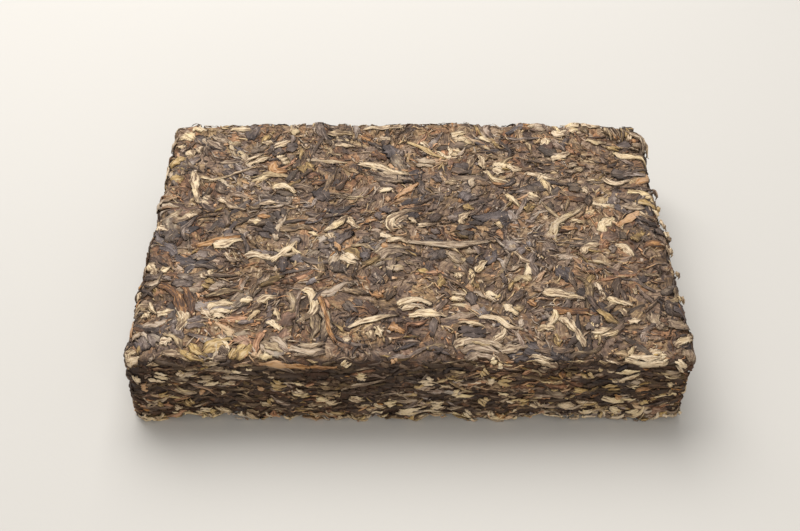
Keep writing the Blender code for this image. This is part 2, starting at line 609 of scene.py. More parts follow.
def settled(walls, places):
    """Moves places in the finished brick: its foot is torn along a profile, and its rim is lumpy."""
    brick = walls.brick
    x, y, z = np.moveaxis(places, -1, 0)
    half = np.array([brick.half_x, brick.half_y])
    away = places[..., :2] - np.clip(places[..., :2], -half, half)
    outward = away / np.maximum(np.hypot(*np.moveaxis(away, -1, 0)), EPSILON)[..., None]
    past = np.maximum(np.abs(x) - brick.half_x, np.abs(y) - brick.half_y)
    u = walls.along(x, y)

    stops, heights = np.array(FOOT_PROFILE).T
    foot = np.interp(np.mod(u - brick.half_x - stops[0], np.ptp(stops)) + stops[0], stops, heights)
    low = smooth((FOOT_TOP[1] - z) / (FOOT_TOP[1] - FOOT_TOP[0])) * smooth(past / FOOT_BAND + 1)
    lift = (foot - SMOOTH_FOOT) * low
    held = np.clip(FLOOR_GAP - z - lift, 0, -np.minimum(lift, 0))
    lift += held

    swell = np.interp(u, walls.breaks, np.array(RIM_SWELL)[[0, 0, 1, 1, 2, 2, 3, 3, 0]])
    high = smooth((z - brick.height + RIM_TOP[0]) / (RIM_TOP[0] - RIM_TOP[1])) * smooth(past / RIM_BAND + 1)
    swell = (swell + RIM_LUMP * rim_lumps(u) * smooth(swell * 2)) * high

    moved = places.copy()
    moved[..., :2] += outward * (held * FOOT_PUSH + swell * RIM_OUT)[..., None]
    moved[..., 2] += lift + swell * RIM_UP
    return moved


def over_floor(places):
    """Squeezes what lies lowest together, so that it keeps its order and stays over the floor."""
    room = SQUEEZED - CLEAR
    squeezed = CLEAR + room * np.exp((np.minimum(places[..., 2], SQUEEZED) - SQUEEZED) / room)
    places[..., 2] = np.where(places[..., 2] < SQUEEZED, squeezed, places[..., 2])
    return places


# ---------------------------------------------------------------------------------------------------
# Laying leaves
# ---------------------------------------------------------------------------------------------------

STEPS = 24  # straight runs that a leaf's path is worked out in
PALE_AND_LIT_FOOT = 0.4  # how much paler the leaves near the foot of the walls are: partly pale bits, partly painted light on leaves that jut out
PALE_AND_LIT_BAND = (2.0, 7.0)  # heights between which that fades out
DARK_AND_SHADED_RIM = 0.35  # how much darker the leaves under the rim are: partly darker pieces, partly painted shade under the overhang
DARK_AND_SHADED_BAND = (7.0, 4.0)  # depths under the top between which that sets in
PALE_WALL_MARK = 0.15  # how much paler than its tone a leaf that stands out on a wall is
SHOWN = 1.2  # how much wider a leaf that stands out is than what shows, as its edges are buried
RAISED = 0.6  # how far over the surface the leaves that aren't pressed down may stand
THICKER = 1.6  # how much thicker those are
DIVING_END = 0.22  # the share of a leaf's length over which each end goes down into the mat
BUCKLE = 0.14  # how high its slow waves may be
CRINKLE = 0.03  # how uneven its surface is

PLAIN_BED = {
    "size": (1, 1, 1),  # shares of a leaf's full length, width and thickness
    "press": 0.25,  # what the press leaves of the height of one that stands over the surface
    "sunk": (0, 0),  # how much deeper than elsewhere the leaves lie
    "tones": (0, 1),  # from how dark to how pale they are
    "warmth": 0.0,  # how much warmer
    "patches": (6, 6),  # the span of their pale and dark patches each way
    "unevenness": 0.12,  # how much paler and darker those patches are
    "lean": 0.28,  # how far the leaves on the walls turn from level, in radians
}
LAYERED_BED = {"patches": (7, 1.6), "unevenness": 0.2, "warmth": 0.12}  # where leaves show edge on


def beds(brick):
    """Where leaves lie: over the broad face, over the walls, ragged along the foot, and underneath."""
    top, walls = BroadFace(brick), Walls(brick)
    # On the walls the tones reach darker than on the broad face: that darker end is painted shade on the
    # walls.
    wall = dict(LAYERED_BED, size=(0.6, 0.5, 1.5), press=0.7, sunk=(0.0, 0.5), tones=(-1.0, 1.15))
    # The foot's tones are paler still: partly pale shards, partly painted light on the leaves that jut out
    # there.
    foot = dict(LAYERED_BED, size=(0.55, 0.7, 1.2), press=1.0, sunk=(-0.9, 0.3), tones=(0.3, 1.45))
    foot["lean"] = 0.7
    return [
        SimpleNamespace(face=face, extent=extent, walls=walls, **{**PLAIN_BED, **settings})
        for face, extent, settings in (
            (top, top.extent(), {"press": 0.2}),
            (walls, walls.extent(), wall),
            (walls, (walls.extent()[0], (0.2, 2.4)), foot),
            (BroadFace(brick, underneath=True), top.extent(), {}),
        )
    ]


def flow(rng, reach):
    """A value that changes gently from place to place, over about this many millimetres each way."""
    turns = rng.normal(0, 1, (5, 2)) / reach
    phases = rng.uniform(0, 2 * math.pi, 5)
    return lambda middle: np.sin(middle @ turns.T + phases).sum(-1)


def smooth(value):
    """0 up to 0, 1 from 1, and an even curve between."""
    value = np.clip(value, 0, 1)
    return value * value * (3 - 2 * value)


def drawn(rng, bounds, count, lean):
    """Random values between two bounds, more of them near the lower one where lean is over 1."""
    low, high = bounds
    return low + (high - low) * rng.random(count) ** lean


def wandering(rng, count, length, middle, heading, bend, sway):
    """Paths round their middles: a heading, an even bend and a sway to and fro, all random."""
    share = (np.arange(STEPS) + 0.5) / STEPS
    bends = rng.normal(0, bend, (count, 1))
    sways = rng.normal(0, sway, (count, 1))
    swings = rng.uniform(0.7, 1.8, (count, 1))
    phases = rng.uniform(0, 2 * math.pi, (count, 1))
    turn = heading[:, None] + bends * (share - 0.5) + sways * np.sin(2 * math.pi * swings * share + phases)
    runs = np.stack([np.cos(turn), np.sin(turn)], -1) * (length / STEPS)[:, None, None]
    path = np.concatenate([np.zeros((count, 1, 2)), np.cumsum(runs, 1)], 1)
    path += (middle - path[:, STEPS // 2])[:, None]
    turns = np.concatenate([turn[:, :1], (turn[:, 1:] + turn[:, :-1]) / 2, turn[:, -1:]], 1)
    return path, turns


def through(marks):
    """A smooth path through a few places, in equal runs."""
    marks = np.array(marks, float).reshape(-1, 2)
    if len(marks) == 2:
        marks = np.array([marks[0], marks.mean(0), marks[1]])
    knots = np.vstack([2 * marks[0] - marks[1], marks, 2 * marks[-1] - marks[-2]])
    fine = []
    for a, b, c, d in zip(knots, knots[1:], knots[2:], knots[3:]):
        square, cube = 2 * a - 5 * b + 4 * c - d, 3 * b - a - 3 * c + d
        for t in np.linspace(0, 1, 12, endpoint=False):
            fine.append(0.5 * (2 * b + (c - a) * t + square * t**2 + cube * t**3))
    fine = np.array(fine + [marks[-1]])
    gone = np.concatenate([[0], np.cumsum(np.hypot(*np.diff(fine, axis=0).T))])
    even = np.linspace(0, gone[-1], STEPS + 1)
    path = np.stack([np.interp(even, gone, fine[:, 0]), np.interp(even, gone, fine[:, 1])], -1)
    ahead = np.gradient(path, axis=0)
    return path, np.unwrap(np.arctan2(ahead[:, 1], ahead[:, 0])), gone[-1]


def scattered(rng, kind, bed, count, bends):
    """A batch of leaves in random places on one bed.

    The dive is how deep the two ends go into the mat, the roll is how far a leaf leans across its
    path, and torn says how uneven its width is, both sides together and each side alone.
    """
    batch = SimpleNamespace(bed=bed, count=count)
    middle = np.stack([rng.uniform(*bounds, count) for bounds in bed.extent], -1)
    batch.length = drawn(rng, kind.length, count, 1.6) * bed.size[0]
    batch.width = drawn(rng, kind.width, count, 1.6) * bed.size[1]
    batch.thick = kind.thickness / MM * rng.uniform(0.7, 1.2, count) * bed.size[2]
    batch.level = drawn(rng, kind.level, count, 0.8) - rng.uniform(*bed.sunk, count)
    batch.dive = rng.uniform(0, 0.9, (count, 2)) ** 2
    batch.tone = rng.uniform(*bed.tones, count) + bed.unevenness * bed.drift(middle)
    batch.hue = rng.random(count) + bed.warmth + 0.12 * bed.tinge(middle)
    batch.torn = (0.22, 0.14)
    if isinstance(bed.face, Walls):
        height, top = middle[:, 1], bed.face.brick.height
        # paler near the foot: partly pale bits, partly painted light caught where the leaves jut out
        batch.tone += PALE_AND_LIT_FOOT * smooth((PALE_AND_LIT_BAND[1] - height) / (PALE_AND_LIT_BAND[1] - PALE_AND_LIT_BAND[0]))
        # darker under the rim: partly darker pieces, partly painted shade under the overhang
        batch.tone -= DARK_AND_SHADED_RIM * smooth((height - top + DARK_AND_SHADED_BAND[0]) / (DARK_AND_SHADED_BAND[0] - DARK_AND_SHADED_BAND[1]))
        heading = rng.normal(0, bed.lean, count) + math.pi * rng.integers(0, 2, count)
        batch.roll = rng.normal(0, 0.2, count)
        bends = (bends[0] * 0.7, bends[1] * 0.8)
    else:
        heading = bed.flow(middle) + rng.normal(0, 0.6, count) + math.pi * rng.integers(0, 2, count)
        batch.roll = rng.normal(0, 0.12, count)
    batch.path, batch.turns = wandering(rng, count, batch.length, middle, heading, *bends)
    return batch


def placed(rng, kind, bed, marks):
    """A batch of the leaves that stand out, each given as a width, a tone and the places it passes."""
    batch = SimpleNamespace(bed=bed, count=len(marks))
    found = [through(places) for _, _, *places in marks]
    batch.path = np.array([path for path, _, _ in found])
    batch.turns = np.array([turns for _, turns, _ in found])
    batch.length = np.array([length for _, _, length in found])
    batch.width = np.array([width for width, *_ in marks]) * SHOWN
    batch.thick = kind.thickness / MM * rng.uniform(1.0, 1.25, batch.count)
    batch.level = rng.uniform(0.0, 0.16, batch.count)
    batch.dive = rng.uniform(0, 0.5, (batch.count, 2))
    batch.roll = rng.normal(0, 0.03, batch.count)
    batch.tone = np.array([tone for _, tone, *_ in marks])
    batch.hue = rng.uniform(0.35, 0.65, batch.count) + bed.warmth
    batch.torn = (0.17, 0.1)
    return batch


def in_strands(rng, batch, width, uneven):
    """Splits each leaf of a batch into strands of about this width, which part and end unevenly."""
    parts = np.maximum(1, np.floor(batch.width / width)).astype(int)
    leaf = np.repeat(np.arange(batch.count), parts)
    place = np.concatenate([np.arange(number) for number in parts])
    count = len(leaf)
    split = SimpleNamespace(bed=batch.bed, count=count, torn=(0.25, 0.2))
    start = rng.uniform(0, uneven, count) * (parts[leaf] > 1)
    end = 1 - rng.uniform(0, uneven, count) * (parts[leaf] > 1)
    steps = (start[:, None] + (end - start)[:, None] * np.linspace(0, 1, STEPS + 1)) * STEPS
    step = np.minimum(steps.astype(int), STEPS - 1)
    part = steps - step
    rows = leaf[:, None]
    path = batch.path[rows, step] * (1 - part)[..., None] + batch.path[rows, step + 1] * part[..., None]
    split.turns = batch.turns[rows, step] * (1 - part) + batch.turns[rows, step + 1] * part
    across = ((place + 0.5) / parts[leaf] - 0.5 + rng.normal(0, 0.06, count)) * batch.width[leaf]
    across = across[:, None] * (1 + rng.normal(0, 0.5, (count, 1)) * (steps / STEPS - 0.5))
    split.path = path + np.stack([-np.sin(split.turns), np.cos(split.turns)], -1) * across[..., None]
    split.length = batch.length[leaf] * (end - start)
    whole, overlap = rng.uniform(0.8, 1.1, count), rng.uniform(1.0, 1.5, count)
    split.width = batch.width[leaf] / parts[leaf] * np.where(parts[leaf] > 1, overlap, whole)
    split.thick = batch.thick[leaf] * rng.uniform(0.7, 1.0, count)
    split.level = batch.level[leaf] + rng.uniform(-0.2, 0.25, count)
    split.dive = rng.uniform(0, 0.7, (count, 2))
    split.roll = rng.normal(0, 0.2, count)
    split.tone = batch.tone[leaf] + rng.normal(0, 0.1, count)
    split.hue = batch.hue[leaf] + rng.normal(0, 0.1, count)
    return split


def waves(rng, share, count, low, high):
    """A slow wave along each leaf, of its own length and phase."""
    return np.sin(2 * math.pi * (share * rng.uniform(low, high, (count, 1)) + rng.random((count, 1))))


def lay(rng, shape, batch):
    """Bends copies of one shape along the paths of a batch, and sets them on its bed."""
    count = batch.count
    share = shape.points[:, 0] + 0.5
    run = np.clip(share * STEPS, 0, STEPS - 1e-6)
    step = run.astype(int)
    part = run - step
    path = batch.path[:, step] * (1 - part)[:, None] + batch.path[:, step + 1] * part[:, None]
    turn = batch.turns[:, step] * (1 - part) + batch.turns[:, step + 1] * part
    torn = 1 + batch.torn[0] * waves(rng, share, count, 0.6, 2.2)
    torn += batch.torn[1] * np.sign(shape.points[:, 1]) * waves(rng, share, count, 1.5, 4.0)
    across = shape.points[:, 1] * batch.width[:, None] * torn
    u = path[..., 0] - np.sin(turn) * across
    v = path[..., 1] + np.cos(turn) * across
    height = batch.level[:, None] - batch.dive[:, :1] * smooth(1 - share / DIVING_END)
    height -= batch.dive[:, 1:] * smooth(1 - (1 - share) / DIVING_END)
    height += batch.roll[:, None] * across
    height += rng.uniform(0, BUCKLE, (count, 1)) * waves(rng, share, count, 0.8, 2.6)
    height += shape.points[:, 2] * batch.thick[:, None] + rng.normal(0, CRINKLE, (count, len(share)))
    height = np.where(height > 0, height * batch.bed.press, height)
    places = over_floor(settled(batch.bed.walls, on_face(batch.bed.face, u, v, height)))
    return SimpleNamespace(shape=shape, places=places, batch=batch)


def dealt(rng, batch, shapes):
    """Shares a batch out among several shapes, one after the other."""
    laid = []
    for number, shape in enumerate(shapes):
        chosen = slice(number, None, len(shapes))
        share = SimpleNamespace(**vars(batch))
        for name, value in vars(batch).items():
            if isinstance(value, np.ndarray):
                setattr(share, name, value[chosen])
        share.count = len(share.length)
        if share.count:
            laid.append(lay(rng, shape, share))
    return laid


# ---------------------------------------------------------------------------------------------------
# Joining leaves into one piece
# ---------------------------------------------------------------------------------------------------

GRAIN_MAP = "LeafGrain"  # millimetres along and round each leaf
BAKE_MAP = "OFBake"  # every leaf unrolled into its own place on one sheet
MARGIN = 0.25  # millimetres kept free round each leaf on that sheet
GIRTH = 2.2  # how far it is round a leaf, for each millimetre of its width
SIDE_SHARE = 0.9  # the share of a leaf's own map that its side takes
END_SHARE = 0.08  # the share that its two ends take, past a narrow gap
SPARE = 1.06  # how much longer the side of the sheet is than the leaves alone would need


def sheet_places(lengths, girths):
    """Packs rectangles in rows on a square sheet, and returns their corners and the sheet's side."""
    side = math.sqrt((lengths * girths).sum()) * SPARE
    corners = np.zeros((len(lengths), 2))
    along = up = tallest = 0.0
    for leaf in np.argsort(-girths, kind="stable"):
        if along + lengths[leaf] > side:
            along, up, tallest = 0.0, up + tallest, 0.0
        corners[leaf] = along, up
        along += lengths[leaf]
        tallest = max(tallest, girths[leaf])
    return corners, max(side, up + tallest)


def unrolled(shape, lengths, widths):
    """Each leaf's own map in millimetres: its side along and round, and its ends beside it."""
    around, along = shape.map[:, 0], shape.map[:, 1]
    side = along > 0.5 - 1e-4
    if not side.any() or side.all():
        return around * lengths[:, None], along * widths[:, None] * GIRTH
    flat = np.where(side, (along - 0.5) * 2 * SIDE_SHARE, 1 - END_SHARE + END_SHARE * along * 2)
    return flat * lengths[:, None], around * widths[:, None] * GIRTH


def make_piece(name, laid, material):
    """Joins the laid leaves into one mesh, with the maps and attributes that its material reads."""
    points, corners, starts, tones, hues, ridges, grains, flats, sizes = ([] for _ in range(9))
    vertices_before = corners_before = leaves_before = 0
    owner = []
    for group in laid:
        shape, batch = group.shape, group.batch
        count, size = batch.count, len(shape.points)
        points.append(group.places.reshape(-1, 3))
        first = vertices_before + np.arange(count)[:, None] * size
        corners.append((shape.corners[None] + first).ravel())
        first = corners_before + np.arange(count)[:, None] * len(shape.corners)
        starts.append((shape.starts[None] + first).ravel())
        tones.append(np.repeat(batch.tone, size))
        hues.append(np.repeat(batch.hue, size))
        ridges.append(np.tile(shape.ridge, count))
        flat_u, flat_v = unrolled(shape, batch.length, batch.width)
        flats.append(np.stack([flat_u, flat_v], -1).reshape(-1, 2))
        grains.append(np.stack([flat_u + batch.tone[:, None] * 400, flat_v], -1).reshape(-1, 2))
        sizes.append(np.stack([batch.length + MARGIN, batch.width * GIRTH + MARGIN], -1))
        owner.append(np.repeat(leaves_before + np.arange(count), len(shape.corners)))
        vertices_before += count * size
        corners_before += count * len(shape.corners)
        leaves_before += count
    sizes = np.concatenate(sizes)
    sheet, side = sheet_places(sizes[:, 0], sizes[:, 1])
    flats = (np.concatenate(flats) + sheet[np.concatenate(owner)] + MARGIN / 2) / side

    mesh = bpy.data.meshes.new(name)
    points = np.concatenate(points) * MM
    mesh.vertices.add(len(points))
    mesh.vertices.foreach_set("co", points.astype(np.float32).ravel())
    corners, starts = np.concatenate(corners), np.concatenate(starts)
    mesh.loops.add(len(corners))
    mesh.loops.foreach_set("vertex_index", corners.astype(np.int32))
    mesh.polygons.add(len(starts))
    mesh.polygons.foreach_set("loop_start", starts.astype(np.int32))
    mesh.update(calc_edges=True)
    for attribute, values in (("leaf_tone", tones), ("leaf_hue", hues), ("ridge", ridges)):
        made = mesh.attributes.new(attribute, "FLOAT", "POINT")
        made.data.foreach_set("value", np.concatenate(values).astype(np.float32))
    for map_name, values in ((GRAIN_MAP, np.concatenate(grains)), (BAKE_MAP, flats)):
        made = mesh.uv_layers.new(name=map_name)
        made.uv.foreach_set("vector", values.astype(np.float32).ravel())
    mesh.validate()
    mesh.shade_smooth()
    mesh.materials.append(material)
    piece = bpy.data.objects.new(name, mesh)
    bpy.context.scene.collection.objects.link(piece)
    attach(piece, "root")
    triangles = sum(len(p.vertices) - 2 for p in mesh.polygons)
    print(f"{name}: {leaves_before} leaves, {triangles} triangles")


def lay_kind(rng, kind, every_bed, shapes, bends, marks, raised_marks, wall_marks):
    """Lays a kind of leaf on every bed, and then the leaves that stand out."""
    laid = []
    for bed, count in zip(every_bed, kind.leaves):
        chosen = shapes.top if bed is every_bed[0] else shapes.rest
        laid += dealt(rng, scattered(rng, kind, bed, count, bends), chosen)
    if marks:
        batch = placed(rng, kind, every_bed[0], marks)
        laid += dealt(rng, in_strands(rng, batch, *TOP_STRANDS), shapes.marks)
    if raised_marks:
        loose = SimpleNamespace(**vars(every_bed[0]))
        loose.press = 1.0
        batch = placed(rng, kind, loose, raised_marks)
        batch.thick *= THICKER
        batch.level += rng.uniform(0.0, RAISED, batch.count)
        laid += dealt(rng, in_strands(rng, batch, *WALL_STRANDS), STRANDS)
    if wall_marks:
        walls = every_bed[1]
        batch = placed(rng, kind, walls, wall_marks)
        batch.path += (walls.face.brick.half_x, 0)
        batch.thick *= walls.size[2]
        batch.tone += PALE_WALL_MARK
        laid += dealt(rng, in_strands(rng, batch, *WALL_STRANDS), STRANDS)
    return laid


# ---------------------------------------------------------------------------------------------------
# Materials
# ---------------------------------------------------------------------------------------------------


class Finish:
    """A material's node tree, built up one node at a time."""

    def __init__(self, name):
        self.material = bpy.data.materials.new(name)
        self.material.use_nodes = True
        self.tree = self.material.node_tree
        self.shader = self.tree.nodes["Principled BSDF"]

    def add(self, kind, inputs=(), **settings):
        """Adds a node, gives it its settings, and links or fills its inputs."""
        made = self.tree.nodes.new("ShaderNode" + kind)
        for name, value in settings.items():
            setattr(made, name, value)
        for name, value in dict(inputs).items():
            self.join(value, made.inputs[name])
        return made

    def join(self, value, socket):
        """Links an output to a socket, or sets the socket to a value."""
        if isinstance(value, bpy.types.NodeSocket):
            self.tree.links.new(value, socket)
        else:
            socket.default_value = value

    def sum(self, *terms):
        """The sum of several (output, weight) pairs and plain numbers."""
        total = 0.0
        for term in terms:
            if isinstance(term, tuple):
                inputs = {0: term[0], 1: term[1], 2: total}
                total = self.add("Math", inputs, operation="MULTIPLY_ADD").outputs[0]
            else:
                total = self.add("Math", {0: total, 1: term}, operation="ADD").outputs[0]
        return total

    def ramp(self, factor, stops):
        """Colours by value."""
        made = self.add("ValToRGB", {"Fac": factor})
        points = made.color_ramp.elements
        for place, shade in stops[1:-1]:
            points.new(place)
        for point, (place, shade) in zip(points, stops):
            point.position = place
            point.color = shade
        return made.outputs["Color"]

    def noise(self, vector, scale, detail=2.0, rough=0.55):
        """Fractal noise."""
        inputs = {"Vector": vector, "Scale": scale, "Detail": detail, "Roughness": rough}
        return self.add("TexNoise", inputs).outputs["Fac"]

    def between(self, value, low, high):
        """Stretches the middle of a noise over the range from low to high."""
        inputs = {"Value": value, "From Min": 0.3, "From Max": 0.7, "To Min": low, "To Max": high}
        return self.add("MapRange", inputs).outputs["Result"]

    def attribute(self, name):
        """A number that the mesh carries."""
        return self.add("Attribute", attribute_name=name).outputs["Fac"]

    def scaled(self, vector, scale):
        """Coordinates stretched by a scale."""
        return self.add("Mapping", {"Vector": vector, "Scale": scale}).outputs["Vector"]

    def finish(self, base, roughness, height, depth, specular=0.3):
        """Sets the shader's colour, roughness and bump."""
        bump = self.add("Bump", {"Height": height, "Strength": 1.0, "Distance": depth})
        self.join(base, self.shader.inputs["Base Color"])
        self.join(roughness, self.shader.inputs["Roughness"])
        self.join(bump.outputs["Normal"], self.shader.inputs["Normal"])
        self.shader.inputs["Specular IOR Level"].default_value = specular
        return self.material


def mixed(first, second, share):
    """A colour between two colours."""
    return tuple(a + (b - a) * share for a, b in zip(first, second))


def tinted(made, base, chance):
    """Shifts a colour towards slate, rust or olive, by a random number from 0 to 1."""
    tints = made.ramp(
        chance,
        [
            (0.0, (0.78, 0.82, 0.93, 1)),
            (0.18, (0.94, 0.92, 0.96, 1)),
            (0.40, (1.0, 0.98, 0.96, 1)),
            (0.58, (1.06, 1.02, 0.82, 1)),
            (0.78, (1.12, 0.96, 0.80, 1)),
            (1.0, (1.22, 0.89, 0.68, 1)),
        ],
    )
    inputs = {"Factor": 1.0, 6: base, 7: tints}  # sockets 6 and 7 are the colours A and B
    return made.add("Mix", inputs, data_type="RGBA", blend_type="MULTIPLY").outputs[2]


def leaf_finish(name, kind, fibre, spread, rough, hues):
    """Dry leaf: fibres along it, a painted highlight on its ridges, painted shade in its grooves, and
    blotches where it bruised.

    Fibre is how strongly the fibres show, spread and hues are how far the leaves differ in tone and in
    hue, and rough is the roughness of its palest and its darkest fibres.
    """
    made = Finish(name)
    grain = made.add("UVMap", uv_map=GRAIN_MAP).outputs["UV"]
    place = made.add("TexCoord").outputs["Object"]
    tone = made.attribute("leaf_tone")
    streaks = made.noise(made.scaled(grain, (0.25, 1.9, 1.0)), 1.0, 2.0, 0.5)
    fibres = made.noise(made.scaled(grain, (0.8, 4.5, 1.0)), 1.0, 2.0, 0.6)
    blotches = made.noise(place, 260.0, 3.0, 0.6)
    drift = made.noise(place, 75.0, 2.0, 0.5)
    specks = made.noise(place, 1500.0, 2.0, 0.7)
    usual = spread / 2 + 0.18 + 1.7 * fibre + 1.1  # what the terms come to on an ordinary leaf
    value = made.sum(
        (tone, spread),
        # painted shade in the grooves, painted highlight on the ridges
        (made.attribute("ridge"), 0.30),
        (streaks, 2.2 * fibre),
        (fibres, 1.2 * fibre),
        (blotches, 0.8),
        (drift, 1.2),
        (specks, 0.2),
        0.5 - usual,
    )
    white = (1.0, 0.93, 0.80, 1.0)
    base = made.ramp(
        value,
        [
            (0.0, mixed(kind.hollow, (0, 0, 0, 1), 0.2)),
            (0.22, tuple(kind.hollow)),
            (0.5, tuple(kind.body)),
            (0.8, tuple(kind.crest)),
            (1.0, mixed(kind.crest, white, 0.14)),
        ],
    )
    hue = made.sum((made.attribute("leaf_hue"), hues), (blotches, 0.6), 0.1 - hues * 0.5)
    base = tinted(made, base, hue)
    height = made.sum((streaks, 1.0), (fibres, 0.6), (specks, 0.35))
    return made.finish(base, made.between(streaks, rough[1], rough[0]), height, 0.45 * MM)


FLAT_MASH = (2.8 * MM, 1.6 * MM)  # depths between which the mash turns from a wall's to a broad face's


def crumb_finish(core):
    """The mash: pieces of leaf that lie every way on the broad faces and level on the walls, where it is
    painted darker as shade.
    """
    made = Finish("mash")
    place = made.add("TexCoord").outputs["Object"]
    size = core.flake_size
    drift = made.add("TexNoise", {"Vector": place, "Scale": 1.1 / size, "Detail": 3.0}).outputs["Color"]
    pushed = {0: drift, 1: (1.3 * size,) * 3, 2: place}
    warped = made.add("VectorMath", pushed, operation="MULTIPLY_ADD").outputs["Vector"]
    height = made.add("SeparateXYZ", {"Vector": place}).outputs["Z"]
    middle = (HIGH.z - LOW.z) / 2
    from_middle = made.add("Math", {0: made.sum((height, 1.0), -middle)}, operation="ABSOLUTE").outputs[0]
    inputs = {"Value": from_middle, "From Min": middle - FLAT_MASH[0], "From Max": middle - FLAT_MASH[1]}
    level = made.add("MapRange", inputs).outputs["Result"]

    def pieces(scale, turned):
        """Tones, chances and streaks of the pieces in the mash on the broad faces or on the walls."""
        cells = made.add("TexVoronoi", {"Vector": made.scaled(warped, scale), "Scale": 1 / size})
        random = made.add("SeparateColor", {"Color": cells.outputs["Color"]}).outputs
        if turned:
            inputs = {"Vector": place, "Angle": made.sum((random["Blue"], 2 * math.pi))}
            lie = made.add("VectorRotate", inputs, rotation_type="Z_AXIS").outputs["Vector"]
            lie = made.scaled(lie, (0.25, 1.9, 1.0))
        else:
            lie = made.scaled(place, (0.22, 0.22, 1.7))
        streaks = made.noise(lie, 1 / MM, 3.0, 0.6)
        return random["Red"], random["Green"], streaks

    flat = pieces((1.0, 1.0, 1.0), True)
    steep = pieces((1.1, 1.1, 4.5), False)
    tone, chance, streaks = (
        made.add("Mix", {"Factor": level, "A": wall, "B": broad}, data_type="FLOAT").outputs["Result"]
        for wall, broad in zip(steep, flat)
    )
    blotches = made.noise(place, 120.0, 3.0, 0.6)
    bits = made.noise(place, 700.0, 2.0, 0.6)
    specks = made.noise(place, 2200.0, 2.0, 0.7)
    usual = 2.68  # what the terms come to on the broad faces
    value = made.sum(
        (tone, 0.45),
        (streaks, 1.7),
        (blotches, 1.1),
        (bits, 0.9),
        (specks, 0.3),
        # paler on the broad faces than on the walls: painted shade on the walls
        (level, 0.45),
        0.5 - usual,
    )
    base = made.ramp(
        value,
        [
            (0.0, tuple(core.deep)),
            (0.3, tuple(core.dark)),
            (0.58, tuple(core.warm)),
            (0.9, tuple(core.pale)),
            (1.0, mixed(core.pale, (1, 0.9, 0.75, 1), 0.2)),
        ],
    )
    base = tinted(made, base, made.sum((chance, 0.9), (blotches, 0.6), -0.27))
    height = made.sum((streaks, 1.4), (tone, 0.6), (bits, 0.7), (specks, 0.5))
    return made.finish(base, made.between(blotches, 0.6, 0.85), height, 0.5 * MM)


def floor_finish(shade):
    """Matt pale paper, with the faintest unevenness."""
    made = Finish("floor")
    place = made.add("TexCoord").outputs["Object"]
    stops = [(0.0, mixed(shade, (0, 0, 0, 1), 0.03)), (1.0, mixed(shade, (1, 1, 1, 1), 0.03))]
    base = made.ramp(made.noise(place, 3.0), stops)
    return made.finish(base, 0.85, made.noise(place, 900.0), 0.02 * MM, 0.2)


# ---------------------------------------------------------------------------------------------------
# The leaves that stand out
# ---------------------------------------------------------------------------------------------------

# Each is a width, a tone from 0 (dark) to 1 (pale) or a little more, and the places it passes, as x and
# y in millimetres. On the broad face they are from the middle, +X to the right and +Y to the back.

